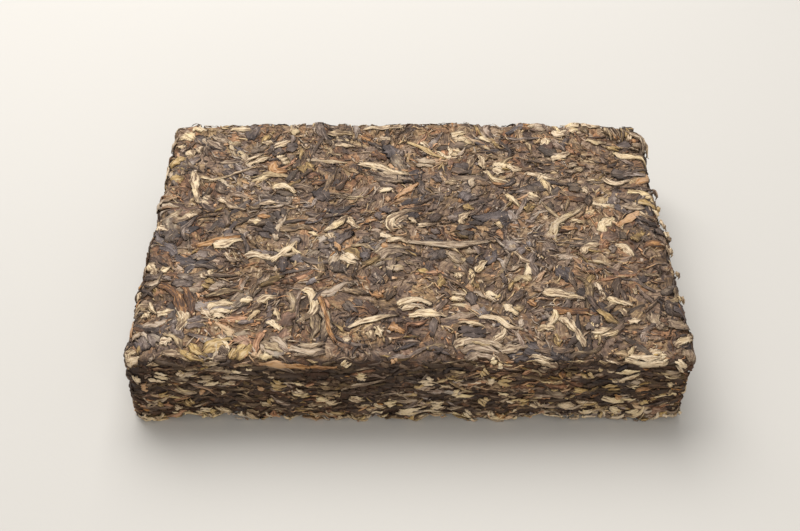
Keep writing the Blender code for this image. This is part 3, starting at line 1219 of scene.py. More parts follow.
BUD_MARKS = (
    # the back left quarter
    (2.0, 0.8, -67.5, 46.5, -63, 46.5), (3.8, 0.8, -70.5, 43.5, -66, 41),
    (4.2, 0.7, -66.5, 37, -64, 33.5), (1.8, 0.7, -70, 38, -68.4, 36.6),
    (1.8, 0.9, -72.2, 29, -72.8, 21.5), (2.5, 0.8, -55.5, 46.5, -48, 46),
    (1.9, 0.6, -45, 40.5, -41, 39.5), (1.8, 0.7, -41.5, 38, -35.5, 41.5),
    (3.2, 0.6, -50.5, 28.5, -47, 31.5, -42, 34.5), (1.6, 0.5, -60, 21.5, -53, 24.5, -46, 29),
    (1.7, 0.7, -47, 21.5, -40, 24.5), (2.6, 0.8, -64, 26, -63, 18.5, -61, 11),
    (1.6, 0.8, -62, 23.5, -56, 21), (3.2, 0.4, -61.5, 14, -57, 11.5), (4.4, 0.8, -39, 31, -36.5, 32.5),
    (2.2, 0.8, -40.5, 18, -36.5, 19, -33, 15.5), (2.0, 0.6, -44, 11, -38, 12),
    (1.8, 0.7, -55.5, 14, -50, 9.5, -46.5, 8.5), (2.4, 0.7, -25, 44.5, -17, 44.5),
    (2.0, 0.7, -14, 47, -8, 47.5, -1, 47.5), (1.9, 0.9, -23, 38.5, -16, 38.5),
    (2.3, 0.9, -15, 29, -9.5, 28.5, -5, 26, 0.5, 25), (1.9, 1.0, -8.5, 17, -4, 18.5),
    # the back right quarter
    (1.8, 0.9, 4.5, 40.5, 7, 37.5), (3.4, 0.7, 13.5, 42, 19, 43.5),
    (1.7, 0.8, 22.5, 43.5, 24.5, 41.5, 27, 41), (3.4, 0.5, 13, 36, 17, 34.5),
    (2.8, 1.0, 42.5, 42.5, 42.5, 38), (2.8, 0.6, 23, 33.5, 23.5, 27),
    (2.0, 0.8, 23.5, 27, 25.5, 22.5, 30, 20.5, 31.5, 18.5), (4.0, 0.9, 25.5, 28, 30, 27),
    (2.8, 0.6, 30, 30, 32.5, 27.5, 35, 27), (1.8, 0.7, 35.5, 26, 40, 23.5, 45, 21.5),
    (1.8, 0.6, 39.5, 23.5, 41.5, 19, 42.5, 14.5), (3.0, 0.4, 11.5, 22, 15.5, 20.5),
    (1.5, 0.7, 29, 15.5, 31, 12.5, 33, 9), (3.0, 0.5, 34.5, 14.5, 39, 12),
    (2.2, 0.7, 45.5, 46, 47.5, 44, 50, 46), (3.6, 0.8, 50, 47, 54.5, 47), (2.0, 0.8, 55, 48, 61, 48),
    (2.2, 0.7, 56, 42, 59, 40.5, 62, 40.5), (2.4, 0.6, 44, 32, 47.5, 33.5, 50.5, 36),
    (2.2, 0.7, 63.5, 35.5, 66, 33, 70, 31, 72, 28.5),
    (2.2, 1.0, 59, 23, 60.5, 20.5, 63.5, 20.5, 67.5, 22), (2.8, 0.6, 51.5, 18.5, 54, 16),
    (1.8, 0.6, 65, 16.5, 68.5, 15.5, 72, 11), (2.0, 0.9, 53, 12, 55.5, 10, 60.5, 9.5),
    # the middle
    (1.6, 0.9, -64, 5.5, -60.5, 7), (2.6, 0.8, -46, 3.5, -41, 3.5), (2.2, 0.7, -71.5, 2, -67.5, -1),
    (2.6, 0.7, -54.5, -8, -50, -6, -46, -4.5), (3.0, 0.6, -73, -14.5, -70.5, -19),
    (1.6, 0.8, -67.5, -18, -65, -15.5), (1.8, 0.8, -71, -14, -69.8, -16.5, -68.6, -19.5),
    (2.0, 0.8, -71.2, -26, -72, -29.5), (3.4, 1.0, -56, -18, -54, -20),
    (2.4, 0.8, -46.5, -11.5, -42, -11, -36, -13), (1.9, 0.8, -38, -13.5, -34.5, -9.5, -30.5, -4),
    (2.0, 0.5, -24, -0.5, -20.5, 2.5, -17.5, 6.5), (2.0, 0.8, -17, 6, -15.5, 2.5, -13.5, 0.5),
    (1.6, 0.8, -28, -0.5, -25, -2.5), (2.6, 0.4, -23, -1, -20.5, -4.5),
    (3.4, 1.0, -18.5, -10, -16, -13, -13.5, -14.5), (1.8, 0.9, -8, -2.5, -4.5, -3.5),
    (2.6, 0.6, -6, -5, -2, -4.5, 0.5, -6), (3.2, 0.5, -3, -1, -4.5, 2, -3, 4.5, 0, 6.5, 3.5, 7),
    (1.7, 0.8, 0.5, 4.5, 2.5, 2), (1.7, 0.6, 2.5, 1.5, 5.5, 1.5, 8.5, 2.5),
    (2.0, 0.8, 15.5, 2, 15.5, 4.5, 18, 7), (2.0, 0.6, 25.5, 3, 27, 0.5),
    (1.3, 0.5, 11.5, -4, 12.5, -8, 15.5, -10.5), (2.0, 0.8, 18.5, -17.5, 20, -14.5, 21.5, -12.5),
    (2.4, 0.9, 14, -17.5, 14, -20), (1.8, 0.4, 30, -9, 32.5, -13, 38, -16),
    (1.8, 0.6, 46.5, 3.5, 50.5, 2.5), (2.8, 0.9, 55, -1.5, 56, 1.5, 59.5, 4.5),
    (2.4, 0.6, 48.5, -10.5, 49.5, -7.5, 52, -6.5, 55.5, -6), (2.4, 0.8, 58, -7, 60.5, -8, 62.5, -11.5),
    # the front left quarter
    (1.5, 0.8, -68.3, -29.5, -67.6, -32, -66, -33.8), (2.2, 0.8, -69.2, -33.6, -67.8, -35),
    (2.0, 0.9, -45, -29, -41.5, -28), (2.2, 0.9, -40.5, -29.5, -37.5, -27.5, -34.5, -27.5),
    (4.6, 1.0, -53, -33.5, -50, -32, -46.5, -32.5), (1.7, 0.9, -54.5, -32.5, -51.5, -35.5),
    (2.6, 0.6, -62.5, -30, -60, -32.5, -58.5, -36, -60, -40.5),
    (2.4, 0.6, -72.5, -34.5, -70.5, -31.5, -67.5, -31), (1.8, 0.5, -66, -34, -61.5, -32.5),
    (2.6, 1.0, -64, -44, -61, -42.5), (2.2, 0.5, -63, -47, -59, -48, -54.5, -50),
    (3.8, 0.7, -73, -49.5, -71, -49, -69, -47.5), (2.4, 0.6, -38, -48.5, -34.5, -48.5),
    (2.6, 0.7, -29.5, -24, -26.5, -25, -25, -29, -26, -33.5, -29.5, -36.5),
    (2.0, 0.9, -37, -35, -33, -39), (1.5, 0.6, -35.5, -30.5, -33.5, -35.5),
    (1.9, 0.7, -16.5, -38.5, -12, -36.5, -8, -35, -2.5, -34), (3.0, 0.6, -9.5, -38.5, -7.5, -43),
    (2.0, 0.9, -17, -42.5, -14.5, -43),
    # the front right quarter
    (3.2, 0.7, -2.5, -31.5, 1.5, -29.5, 6.5, -31), (2.3, 1.0, 0, -34.5, 5, -33.5, 10.5, -34.5),
    (3.0, 0.5, 11, -26.5, 16, -27.5), (2.0, 1.0, 21, -25, 24, -27), (1.8, 0.7, 20.5, -26.5, 23.5, -28.5),
    (2.2, 1.0, 25.5, -29, 29, -33.5), (2.5, 1.0, 18.5, -34, 23, -34.5, 26, -37.5, 30, -39),
    (2.0, 0.7, 25, -37.5, 24, -41, 21, -44), (1.7, 0.6, 13, -36.5, 16, -36.5, 20.5, -38),
    (1.8, 0.7, 11.5, -45, 15.5, -41.5), (1.7, 0.7, 33, -40, 36, -38.5, 38.5, -39),
    (2.2, 0.6, 33, -50, 38, -52), (2.4, 0.6, 36, -25, 42, -26.5, 47.5, -28),
    (2.8, 0.8, 38.5, -34.5, 41.5, -35.5, 44, -39.5, 45.5, -45),
    (3.2, 0.8, 47.5, -40.5, 51, -40, 54.5, -38.5), (2.0, 0.7, 53, -27.5, 55.5, -29, 59.5, -30.5),
    (2.5, 0.4, 56.5, -31.5, 57, -34.5), (1.7, 1.0, 57.5, -36.5, 61, -35.5),
    (2.8, 0.8, 67.5, -45, 70, -43, 73, -41.5), (3.2, 0.9, 54.5, -49, 60, -50.5, 66.5, -50),
    (4.2, 0.6, 61.5, -48.5, 65, -48),
)  # fmt: skip

STRIP_MARKS = (
    (5.0, 0.5, -62, 44, -55, 38), (2.4, 0.6, -72.2, 43, -72.4, 36), (1.8, 0.6, -57, 30.5, -51, 31),
    (1.5, 0.7, -31.5, 31.5, -26, 30.5, -18, 29.5), (4.4, 0.6, -10, 24, 0, 22.5),
    (3.4, 0.5, 2.5, 31, 9, 29), (2.8, 0.6, -9, 43, -5, 42), (3.2, 0.6, 39.5, 46.5, 44.5, 46.5),
    (4.0, 0.5, 52.5, 29, 49.5, 26.5), (3.0, 0.7, 64.5, 45.5, 67, 40.5),
    (4.4, 0.4, 70, 45, 72.5, 39, 73.5, 33), (2.6, 0.6, -73.5, 8, -69.5, 12.5),
    (1.7, 0.5, -70, 3.5, -67, 6, -64.5, 9.5), (1.5, 0.7, -49, 0.5, -45.5, -2, -44, -4.5),
    (1.6, 0.6, -16, -7, -12.5, -7, -9, -9.5), (3.2, 0.5, -9, -12.5, -5, -9, 2, -9.5),
    (2.2, 0.6, -7, -17, -1, -16), (2.1, 0.9, 0, -5.5, 5.5, -6.5, 14, -6.5, 23.5, -4.5),
    (2.4, 0.6, 16, -8.5, 19.5, -9), (2.6, 0.9, 40.5, -5.5, 41.5, 0, 44, 4, 48, 6.5, 51.5, 11),
    (3.2, 0.5, 62, 11, 65.5, 9.5, 69, 9.5), (1.4, 0.8, -70, -23.6, -68.6, -22.6, -67.2, -20.3),
    (1.6, 0.7, -71.8, -42.5, -68.8, -40), (1.6, 0.6, -54.5, -28, -49, -25.5, -44, -25.5),
    (2.0, 0.5, -63.5, -40.5, -60, -42.5, -57.5, -47), (4.2, 0.3, -49.5, -47.5, -45.5, -48),
    (4.2, 0.4, -24, -30, -22.5, -38, -24, -44), (3.2, 0.6, -37, -42, -33.5, -44.5, -30.5, -48),
    (4.6, 0.6, -30.5, -45.5, -25, -46.5, -20.5, -45.5), (2.2, 0.5, -33, -24.5, -30.5, -29.5, -31, -34),
    (5.4, 0.7, 13, -47.5, 17.5, -45.5, 24.5, -48), (2.2, 0.7, 15.5, -43, 21.5, -44.5),
    (2.6, 0.7, 22.5, -46.5, 27, -45.5, 30.5, -44.5), (2.8, 0.7, 64.5, -32.5, 65, -37, 67.5, -39.5),
    (2.6, 0.6, 68, -36, 70.5, -39, 73, -37.5), (1.8, 0.6, 71.5, -23.5, 71.5, -28, 68, -31),
    (3.2, 0.6, 71.5, -45.5, 72.5, -51),
)  # fmt: skip

STEM_MARKS = (
    (1.7, 1.0, -3.5, 13.5, 3.5, 20.5), (2.0, 1.0, -6.5, 13, -5, 13),
    (2.2, 0.8, -41, 31, -40.5, 26.5, -36, 25.5), (2.4, 0.8, -5.5, 30, -3, 28, 0.5, 26.5),
    (2.8, 0.3, -11, 35, -6, 31.5), (2.0, 0.5, -28.5, 19.5, -24, 20.5), (2.6, 0.3, -14, 43, -11, 42),
    (3.2, 0.5, 36, 48, 39.5, 47.5), (2.4, 0.9, 72.5, 23.5, 70, 21.5, 67.5, 19.5),
    (2.2, 0.3, 44, 13.5, 52, 12.5), (1.5, 0.8, -43.5, 5.5, -38.5, 5),
    (2.4, 0.6, -59.5, -7, -54, -5.5, -47, -3.5), (1.6, 0.7, -20.5, -4.5, -19, -9.5),
    (2.0, 0.8, -7.5, -7.5, -5.5, -8), (2.0, 0.7, 43.5, 0, 48.5, 0), (1.9, 0.8, 59.5, 1, 64, 4.5, 68.5, 9),
    (2.2, 0.6, 65.5, -7.5, 69, -6.5, 71.5, -8),
    (3.8, 0.2, -67, -20.5, -61.5, -24.5, -58.5, -31, -57, -38), (2.1, 0.9, -73.5, -35.5, -72.5, -41.5),
    (1.5, 0.6, -24, -26, -22, -33, -20.5, -40, -18.5, -44.5), (2.6, 0.3, -12, -29.5, -8.5, -33.5),
    (2.2, 0.7, -9.5, -26, -6.5, -27.5), (2.4, 0.5, -5, -38, -1, -40), (1.8, 0.9, 32, -28, 34, -30.5),
    (2.6, 0.2, 38, -32, 48, -32.5), (2.3, 1.0, -38.5, -51, -31.5, -51.5, -24, -52),
    (1.2, 0.6, -25.5, -52, -18, -52),
)  # fmt: skip

OLIVE_MARKS = (
    (1.9, 1.0, 0, 41, 4, 38, 8, 34.5, 12, 32), (3.2, 0.7, -31.5, 30, -30, 24.5),
    (2.4, 1.0, -67.9, 32.6, -69.8, 30, -71.2, 27), (2.8, 0.9, -70.5, 21.5, -67, 22.8),
    (1.9, 0.8, 66.5, 12.5, 70, 10.5, 73, 9), (2.6, 0.7, -17.5, -8.5, -14.5, -10, -13, -12.5),
    (1.8, 0.8, 16, 10, 19.5, 8.5), (2.2, 0.6, 36.5, 10.5, 34.5, 6.5), (4.0, 0.4, 64, -2, 66, -4.5),
    (3.2, 0.7, -57.5, -43.5, -55, -47, -50, -50), (3.4, 1.0, -53, -47, -50, -44.5, -44, -43),
    (3.0, 0.8, -44.5, -50.5, -42, -46, -40.5, -42.5), (3.2, 0.7, -55.5, -21.5, -52, -23.5),
    (2.0, 0.8, 50, -31, 52.5, -34.5, 56, -38),
)  # fmt: skip

BLADE_MARKS = (
    (4.4, 0.4, -40, 14.5, -33.5, 12.5), (3.2, 0.5, -38, 37.5, -33, 38.5),
    (3.2, 0.4, -26, 16.5, -23, 12.5), (3.6, 0.4, 7.5, 24.5, 11, 21.5), (5.4, 0.5, 13, 28.5, 20, 27),
    (4.2, 0.5, 37, 20.5, 40, 16.5), (4.0, 0.4, 61, 25.5, 66, 24.5), (3.2, 0.4, 47, 18, 52, 18.5),
    (5.0, 0.4, -42.5, 0.5, -37, -2), (5.0, 0.5, -39, 8.5, -36, 3.5), (5.0, 0.5, -8.5, 9, -5.5, 6),
    (4.2, 0.4, -11, -2, -9.5, -5.5), (3.2, 0.4, 13.5, -1, 19.5, 0), (3.2, 0.4, 5.5, -2, 9.5, -3),
    (4.2, 0.4, 7.5, -9, 9, -13), (2.8, 0.4, 61.5, -1, 61, -4.5), (3.2, 0.4, -58.5, -38, -52.5, -36),
    (4.2, 0.4, -64, -20, -57, -22.5), (6.0, 0.7, -68.5, -41.5, -65.5, -46.5),
    (4.4, 0.5, -16.5, -28, -13, -33), (2.8, 0.3, 16.5, -25.5, 17.5, -30.5),
    (3.2, 0.5, 12, -39.5, 20.5, -40), (4.2, 0.5, 47, -35.5, 50, -37.5), (4.2, 0.5, 69, -24, 70.5, -26.5),
)  # fmt: skip

# Folded leaves and torn bits that stand over the surface, in the back right corner and along the rim.
RAISED_BUD_MARKS = (
    (1.4, 0.7, 62.4, 46.8, 63.4, 43.6), (1.2, 0.9, 69.2, 42.2, 68.8, 38.4),
    (1.2, 0.7, 71.6, 8.6, 72.4, 4.6), (1.6, 0.5, 72, 3.6, 73.2, -0.6), (1.2, 0.6, 72, -0.8, 73.4, -4),
    (1.8, 0.5, 72.2, -6.8, 73.4, -11.2), (1.4, 0.6, 71.8, -26, 73.2, -30), (2.2, 0.8, 50, 48.4, 56, 48.6),
)  # fmt: skip
RAISED_STRIP_MARKS = (
    (3.2, 0.7, 70.2, 46.4, 72.4, 42, 72.8, 36.4, 72.2, 32.6), (3.0, 0.5, 63, 47.6, 64.4, 43.6, 65, 40.4),
    (2.2, 0.4, 66.2, 47.6, 66.6, 43.4, 66, 39.6), (1.8, 0.5, 68.6, 37, 71, 35.6),
    (1.8, 0.4, 72, 17.4, 73, 13.6), (1.5, 0.5, 72.4, -3.4, 73.8, -4.8), (1.6, 0.5, 72.4, -17, 73.6, -20),
)  # fmt: skip
RAISED_STEM_MARKS = (
    (1.8, 0.6, 64.4, 46.4, 65.2, 42.6, 65.4, 39.4), (1.4, 0.4, 69.8, 40.4, 69.4, 36.6),
)  # fmt: skip
RAISED_OLIVE_MARKS = (
    (2.2, 0.7, 68.2, 47.4, 68.4, 43.4, 67.8, 39.4), (1.7, 1.0, 61.4, 38.6, 64.4, 36.8, 66.6, 36),
    (1.3, 1.0, 73, 11.2, 73.6, 8),
)  # fmt: skip

# On the front wall the places are x from the middle, to the right, and the height over the floor.
WALL_BUD_MARKS = (
    (2.6, 1.1, -72, 21.5, -70.5, 24.5), (1.4, 1.0, -70, 19, -68.8, 15),
    (2.4, 0.9, -65, 18.6, -60.5, 17.2), (1.0, 1.1, -66.5, 17.6, -63.5, 16.6),
    (1.7, 1.0, -59.5, 18.3, -56.5, 20.2), (1.2, 1.1, -53, 15, -48, 15.4),
    (1.1, 1.1, -45, 19.8, -42, 19.3), (1.5, 1.0, -61.5, 5.8, -59, 5.5), (1.2, 0.9, -62.5, 3.5, -59.5, 3),
    (1.6, 1.2, -56, 5, -51, 4.8), (1.3, 0.9, -56.5, 2.9, -53.5, 3.1),
    (1.6, 1.1, -51, 6.5, -48.5, 4.6, -45.5, 2.5), (1.3, 1.1, -48.8, 11.5, -47.3, 10.4),
    (1.5, 0.8, -43, 3, -39, 1), (1.8, 0.9, -17, 21.5, -14.5, 23.2), (2.4, 1.0, -14, 18, -10.5, 18),
    (1.9, 1.0, -30.5, 12.5, -26.5, 11), (1.0, 0.9, -29.5, 15.5, -26.3, 15),
    (1.4, 1.2, -24.6, 8.5, -20, 9.7), (1.4, 1.2, -22, 7.4, -17.3, 8.9), (1.4, 1.2, -24.2, 6.6, -22, 6),
    (1.8, 1.0, -15.5, 10, -11, 8.8), (1.2, 0.9, -9.2, 7, -6.7, 6, -5, 5.5),
    (1.6, 1.0, -6.5, 7, -2.3, 8.1), (2.2, 1.2, -5, 3.8, 0, 4.6, 4.5, 5.4), (1.3, 1.0, -7.5, 2, -4.8, 2.4),
    (1.4, 1.1, -25.2, 1.4, -23, 3), (1.8, 0.9, -16.7, 3.4, -14.5, 1.5, -11, 0.2),
    (1.5, 0.9, -19.6, 2.5, -17, 1), (1.7, 1.0, 20.4, 22.4, 22.6, 24.2), (1.3, 0.8, 22, 21.5, 24.6, 21.8),
    (2.0, 1.1, 31, 24.6, 34, 23.6, 37.3, 22.3), (1.3, 1.0, 19.5, 16, 22.7, 16.6),
    (1.3, 1.1, 2, 15.7, 5.5, 16.1, 8.2, 15.2), (1.1, 1.0, 4.5, 17.6, 6.6, 16.8),
    (2.2, 1.0, 11, 11.2, 14, 12.4), (1.1, 1.0, 12, 10.8, 17.3, 10.6), (1.1, 0.9, 25.5, 8.6, 28, 7.4),
    (1.6, 1.1, 32, 7.9, 35.2, 5.4), (1.3, 1.1, 5.5, 7.6, 9.6, 7.5), (1.3, 0.9, 5, 6, 10, 6.1),
    (1.6, 1.2, 14.3, 4.9, 17.2, 2.9), (1.1, 0.9, 11.3, 3.5, 14, 2.7), (1.4, 1.2, 21.4, 4.7, 22.4, 2.3),
    (1.4, 1.0, 20, 1.9, 25, 1), (1.9, 0.8, 2, 2, 5.2, 1.4), (1.8, 1.1, 63, 23.4, 66.2, 24.6),
    (2.0, 1.1, 67, 23, 69, 21.5, 70.8, 19.8), (1.3, 1.1, 51.5, 19.5, 60.2, 19.6),
    (1.1, 0.8, 53, 16, 56, 17.5, 59, 18.6), (1.7, 1.0, 66, 15, 68.8, 14.4),
    (1.4, 1.1, 50, 10, 53.5, 8.6, 56.8, 8.3), (1.8, 1.1, 38, 6.4, 41.5, 6.9, 44.7, 5.4),
    (1.3, 1.2, 44.5, 5.1, 46.5, 3.2, 50.2, 4.3), (1.7, 1.2, 52.4, 5.1, 56.2, 3.4),
    (2.2, 1.1, 57.5, 3, 60, 4.4, 60.6, 6.6), (1.0, 0.9, 54, 2.3, 57, 1.4),
)  # fmt: skip
WALL_STRIP_MARKS = (
    (1.7, 0.6, -54, 20.5, -49, 21.5, -44, 21.4), (1.8, 0.7, -54.6, 17, -49, 17.7),
    (1.2, 0.5, -48, 17.5, -42.5, 17.3, -39.5, 16.7), (1.1, 0.6, -58.5, 18.6, -53.3, 19.9),
    (1.7, 0.6, -61, 14.5, -57, 12.2, -52.5, 12), (1.2, 0.5, -39, 7.1, -35.5, 6.4),
    (1.4, 0.4, -24.5, 16.5, -19, 16.2), (1.2, 0.5, -24, 13.9, -17.5, 13.9),
    (1.5, 0.5, -23.5, 11.4, -18, 12), (1.0, 0.6, -17.5, 13, -12, 14.8, -5.5, 16.4),
    (1.3, 0.4, 10.4, 20, 15.2, 19.5), (1.4, 0.4, 32.3, 20.9, 36.2, 20.4), (1.0, 0.6, 10, 5.5, 14.3, 6.6),
    (1.4, 0.4, 5, 2.8, 11.2, 2.5), (1.3, 0.6, 63, 19, 67.5, 19.3, 71, 20),
    (1.3, 0.6, 66, 17.4, 70.3, 18.6), (1.3, 0.4, 49.8, 1.8, 53.2, 2.1),
)  # fmt: skip
WALL_STEM_MARKS = (
    (2.0, 0.9, -69.2, 14, -66.8, 13.9), (1.6, 0.8, -54.2, 12.6, -52.3, 11.4),
    (1.3, 0.9, -39.7, 13.6, -36.8, 12.4), (1.0, 0.7, -33.2, 2.2, -31.4, 0.9),
    (1.5, 0.6, -4.6, 24, -2.4, 22), (1.1, 0.7, 31.2, 12.1, 33.2, 12), (1.5, 0.6, 22.6, 3.6, 26.6, 2.4),
    (1.2, 0.5, 38.3, 20.2, 40.2, 16.2), (1.3, 0.6, 57.3, 10.9, 59.7, 13, 63.2, 13.6),
    (1.2, 0.8, 53.4, 9.9, 56.3, 9),
)  # fmt: skip
WALL_OLIVE_MARKS = (
    (1.3, 0.8, -65.5, 10.4, -61.3, 12.1), (1.7, 0.8, -66.2, 8.1, -63.3, 6.9),
    (1.9, 1.0, -58.2, 9.2, -55.8, 6.3), (1.7, 1.1, -52.6, 4.1, -49.8, 3.4),
    (2.8, 1.1, -36.2, 15, -33, 14, -30.4, 14), (1.3, 0.9, -36.6, 9.6, -35.3, 6.9),
    (1.8, 1.0, 18.3, 20.7, 20.1, 18.3), (2.1, 1.1, 22.8, 16.6, 26.8, 15), (1.3, 0.7, 9.4, 18.6, 13.3, 18),
    (2.6, 1.1, 18.3, 9.4, 21.3, 7.6), (2.5, 1.1, 28.3, 8, 31.7, 8.5), (1.6, 0.9, 44.4, 19.7, 47.2, 16.3),
    (1.4, 0.7, 39.4, 19, 42.2, 18.4), (1.7, 1.0, 49.4, 12, 52, 13.4, 55.2, 13),
    (1.3, 0.8, 42, 12.6, 47.2, 12.3), (1.6, 1.0, 60.8, 8.1, 62.7, 6.6),
    (1.7, 0.9, 61, 2, 63.4, 1.2, 64.6, 2.9), (1.7, 1.0, 65.8, 2, 69.2, 3.6),
)  # fmt: skip


# ---------------------------------------------------------------------------------------------------
# Operators
# ---------------------------------------------------------------------------------------------------

BEDS = []  # where leaves lie, once the core is made
STRANDS = []  # the shapes of the strands of a leaf that shows edge on
WALL_STRANDS = (0.7, 0.3)  # of a leaf that shows edge on: width, and how unevenly the strands end
TOP_STRANDS = (1.7, 0.15)  # of one that lies flat
BUMPS_ALONG_FLAKE = 2.5  # how many bumps of the core lie along one flake of its colours


class TEA_OT_core(Operator):
    """Makes the dark core of crumb just inside the solid, with its lumps, and measures the faces"""

    bl_idname = "tea.core"
    bl_label = "Core of Crumb"
    bl_options = {"REGISTER", "UNDO"}

    def execute(self, context):
        settings = context.scene.tea_core
        STRANDS[:] = [
            rolled_leaf("strand", 6, 8, 0.7, 60, 0.4, 0.6, 0.06, 61),
            rolled_leaf("split strand", 6, 8, 0.6, -40, 0.3, 0.7, 0.08, 62),
            rolled_leaf("flat strand", 6, 8, 0.8, 20, 0.6, 0.8, 0.07, 63),
        ]
        core = solid_copy()
        core.name = core.data.name = "core_of_crumb"
        brick = Brick(core, settings.edge_radius)
        BEDS[:] = beds(brick)
        rng = np.random.default_rng(settings.seed)
        for bed in BEDS:
            bed.flow = flow(rng, (20, 20))
            bed.drift = flow(rng, bed.patches)
            bed.tinge = flow(rng, (9, 9))
        core.data.materials.clear()
        apply_modifier(core, "REMESH", mode="VOXEL", voxel_size=settings.facet)
        apply_modifier(core, "DISPLACE", strength=-settings.depth, mid_level=0.0)
        draw_in_walls(settings.wall_depth)
        lumps = bpy.data.textures.new("lumps", "CLOUDS")
        lumps.noise_scale = settings.lump_size
        lumps.noise_depth = 2
        flakes = bpy.data.textures.new("flakes", "VORONOI")
        flakes.noise_scale = settings.flake_size / BUMPS_ALONG_FLAKE
        for texture, rise in ((lumps, settings.lump_rise), (flakes, settings.flake_rise)):
            apply_modifier(core, "DISPLACE", texture=texture, strength=rise, texture_coords="LOCAL")
        places = over_floor(settled(BEDS[1].face, read(core.data.vertices, "co", 3) / MM))
        core.data.vertices.foreach_set("co", (places * MM).astype(np.float32).ravel())
        core.data.shade_smooth()
        core.data.materials.append(crumb_finish(settings))
        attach(core, "root")
        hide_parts(NODE)
        print("core:", len(core.data.polygons) * 2, "triangles")
        return {"FINISHED"}


def draw_in_walls(depth):
    """Brings the walls of the active object in, without lowering its broad faces."""
    bpy.ops.object.mode_set(mode="EDIT")
    bpy.ops.mesh.select_all(action="SELECT")
    share = (1 - 2 * depth / (HIGH.x - LOW.x), 1 - 2 * depth / (HIGH.y - LOW.y), 1)
    bpy.ops.transform.resize(value=share, center_override=(0.0, 0.0, 0.0))
    bpy.ops.object.mode_set(mode="OBJECT")


def layered_shapes(number):
    """Two plainer shapes for leaves that show edge on in the walls, crinkled from this number on."""
    return [
        rolled_leaf("layered leaf", 6, 5, 0.6, 40, 0.6, 0.8, 0.08, number),
        rolled_leaf("layered bit", 6, 5, 0.7, -30, 0.8, 0.7, 0.1, number + 1),
    ]


# Each rolled leaf is given its sides, rings, groove, twist, tip, butt, crinkle and number, in that order.


class LeafOperator:
    """What the operators for the kinds of leaf share."""

    bl_options = {"REGISTER", "UNDO"}
    kind = ""  # the name of its piece
    slot = ""  # a name for its kind of material
    bends = (0.8, 0.25)  # how far its leaves bend one way, and sway to and fro, in radians
    marks = ()  # its leaves that stand out on the broad face
    raised_marks = ()  # those that aren't pressed down
    wall_marks = ()  # those on the front wall
    hues = 0.8
    fibre = 1.0
    spread = 0.5
    rough = (0.55, 0.85)

    def shapes(self):
        """The modelled shapes for the top, for the rest of the brick, and for leaves that stand out."""
        raise NotImplementedError

    def execute(self, context):
        if not BEDS:
            raise RuntimeError("the core comes first, because the leaves lie on it")
        kind = getattr(context.scene, "tea_" + self.kind)
        rng = np.random.default_rng(kind.seed)
        standing_out = self.marks, self.raised_marks, self.wall_marks
        laid = lay_kind(rng, kind, BEDS, self.shapes(), self.bends, *standing_out)
        finish = leaf_finish(self.kind, kind, self.fibre, self.spread, self.rough, self.hues)
        make_piece(self.kind, laid, finish)
        return {"FINISHED"}


class TEA_OT_broad_leaves(LeafOperator, Operator):
    """Lays the broad leaves that are pressed flat"""

    bl_idname = "tea.broad_leaves"
    bl_label = "Broad Leaves"
    kind = "broad_leaves"
    slot = "dark_leaf"
    marks = BLADE_MARKS
    bends = (0.5, 0.2)
    fibre = 0.55
    rough = (0.45, 0.7)
    hues = 1.0

    def shapes(self):
        fine = [
            rolled_leaf("blade", 12, 6, 0.9, 0, 0.5, 0.7, 0.07, 3),
            rolled_leaf("torn blade", 12, 6, 0.85, 12, 0.8, 0.85, 0.09, 4),
            rolled_leaf("folded blade", 12, 6, 0.75, -18, 0.6, 0.75, 0.08, 5),
        ]
        return SimpleNamespace(top=fine, rest=fine, marks=fine)


class TEA_OT_dark_strips(LeafOperator, Operator):
    """Lays the dark rolled strips"""

    bl_idname = "tea.dark_strips"
    bl_label = "Dark Strips"
    kind = "dark_strips"
    slot = "dark_leaf"
    bends = (1.1, 0.4)
    rough = (0.5, 0.75)
    hues = 1.1

    def shapes(self):
        fine = [
            rolled_leaf("strip", 10, 8, 0.7, 110, 0.4, 0.7, 0.06, 7),
            rolled_leaf("crushed strip", 10, 8, 0.65, -60, 0.6, 0.75, 0.08, 8),
            rolled_leaf("flat strip", 10, 8, 0.75, 30, 0.5, 0.6, 0.05, 9),
        ]
        return SimpleNamespace(top=fine, rest=layered_shapes(10))


class TEA_OT_grey_strips(LeafOperator, Operator):
    """Lays the grey strips, with those that stand out where they lie on this brick"""

    bl_idname = "tea.grey_strips"
    bl_label = "Grey Strips"
    kind = "grey_strips"
    slot = "grey_leaf"
    bends = (1.1, 0.4)
    marks = STRIP_MARKS
    raised_marks = RAISED_STRIP_MARKS
    wall_marks = WALL_STRIP_MARKS
    hues = 0.6
    spread = 0.85

    def shapes(self):
        fine = [
            rolled_leaf("downy strip", 10, 8, 0.7, 80, 0.4, 0.75, 0.05, 12),
            rolled_leaf("open strip", 10, 8, 0.65, -50, 0.5, 0.5, 0.06, 13),
            rolled_leaf("thin strip", 10, 8, 0.7, 120, 0.4, 0.5, 0.05, 14),
        ]
        finest = [
            rolled_leaf("long leaf", 14, 12, 0.8, 35, 0.5, 0.7, 0.035, 17),
            rolled_leaf("wide leaf", 14, 12, 0.75, -25, 0.6, 0.75, 0.04, 18),
        ]
        return SimpleNamespace(top=fine, rest=layered_shapes(15), marks=finest)


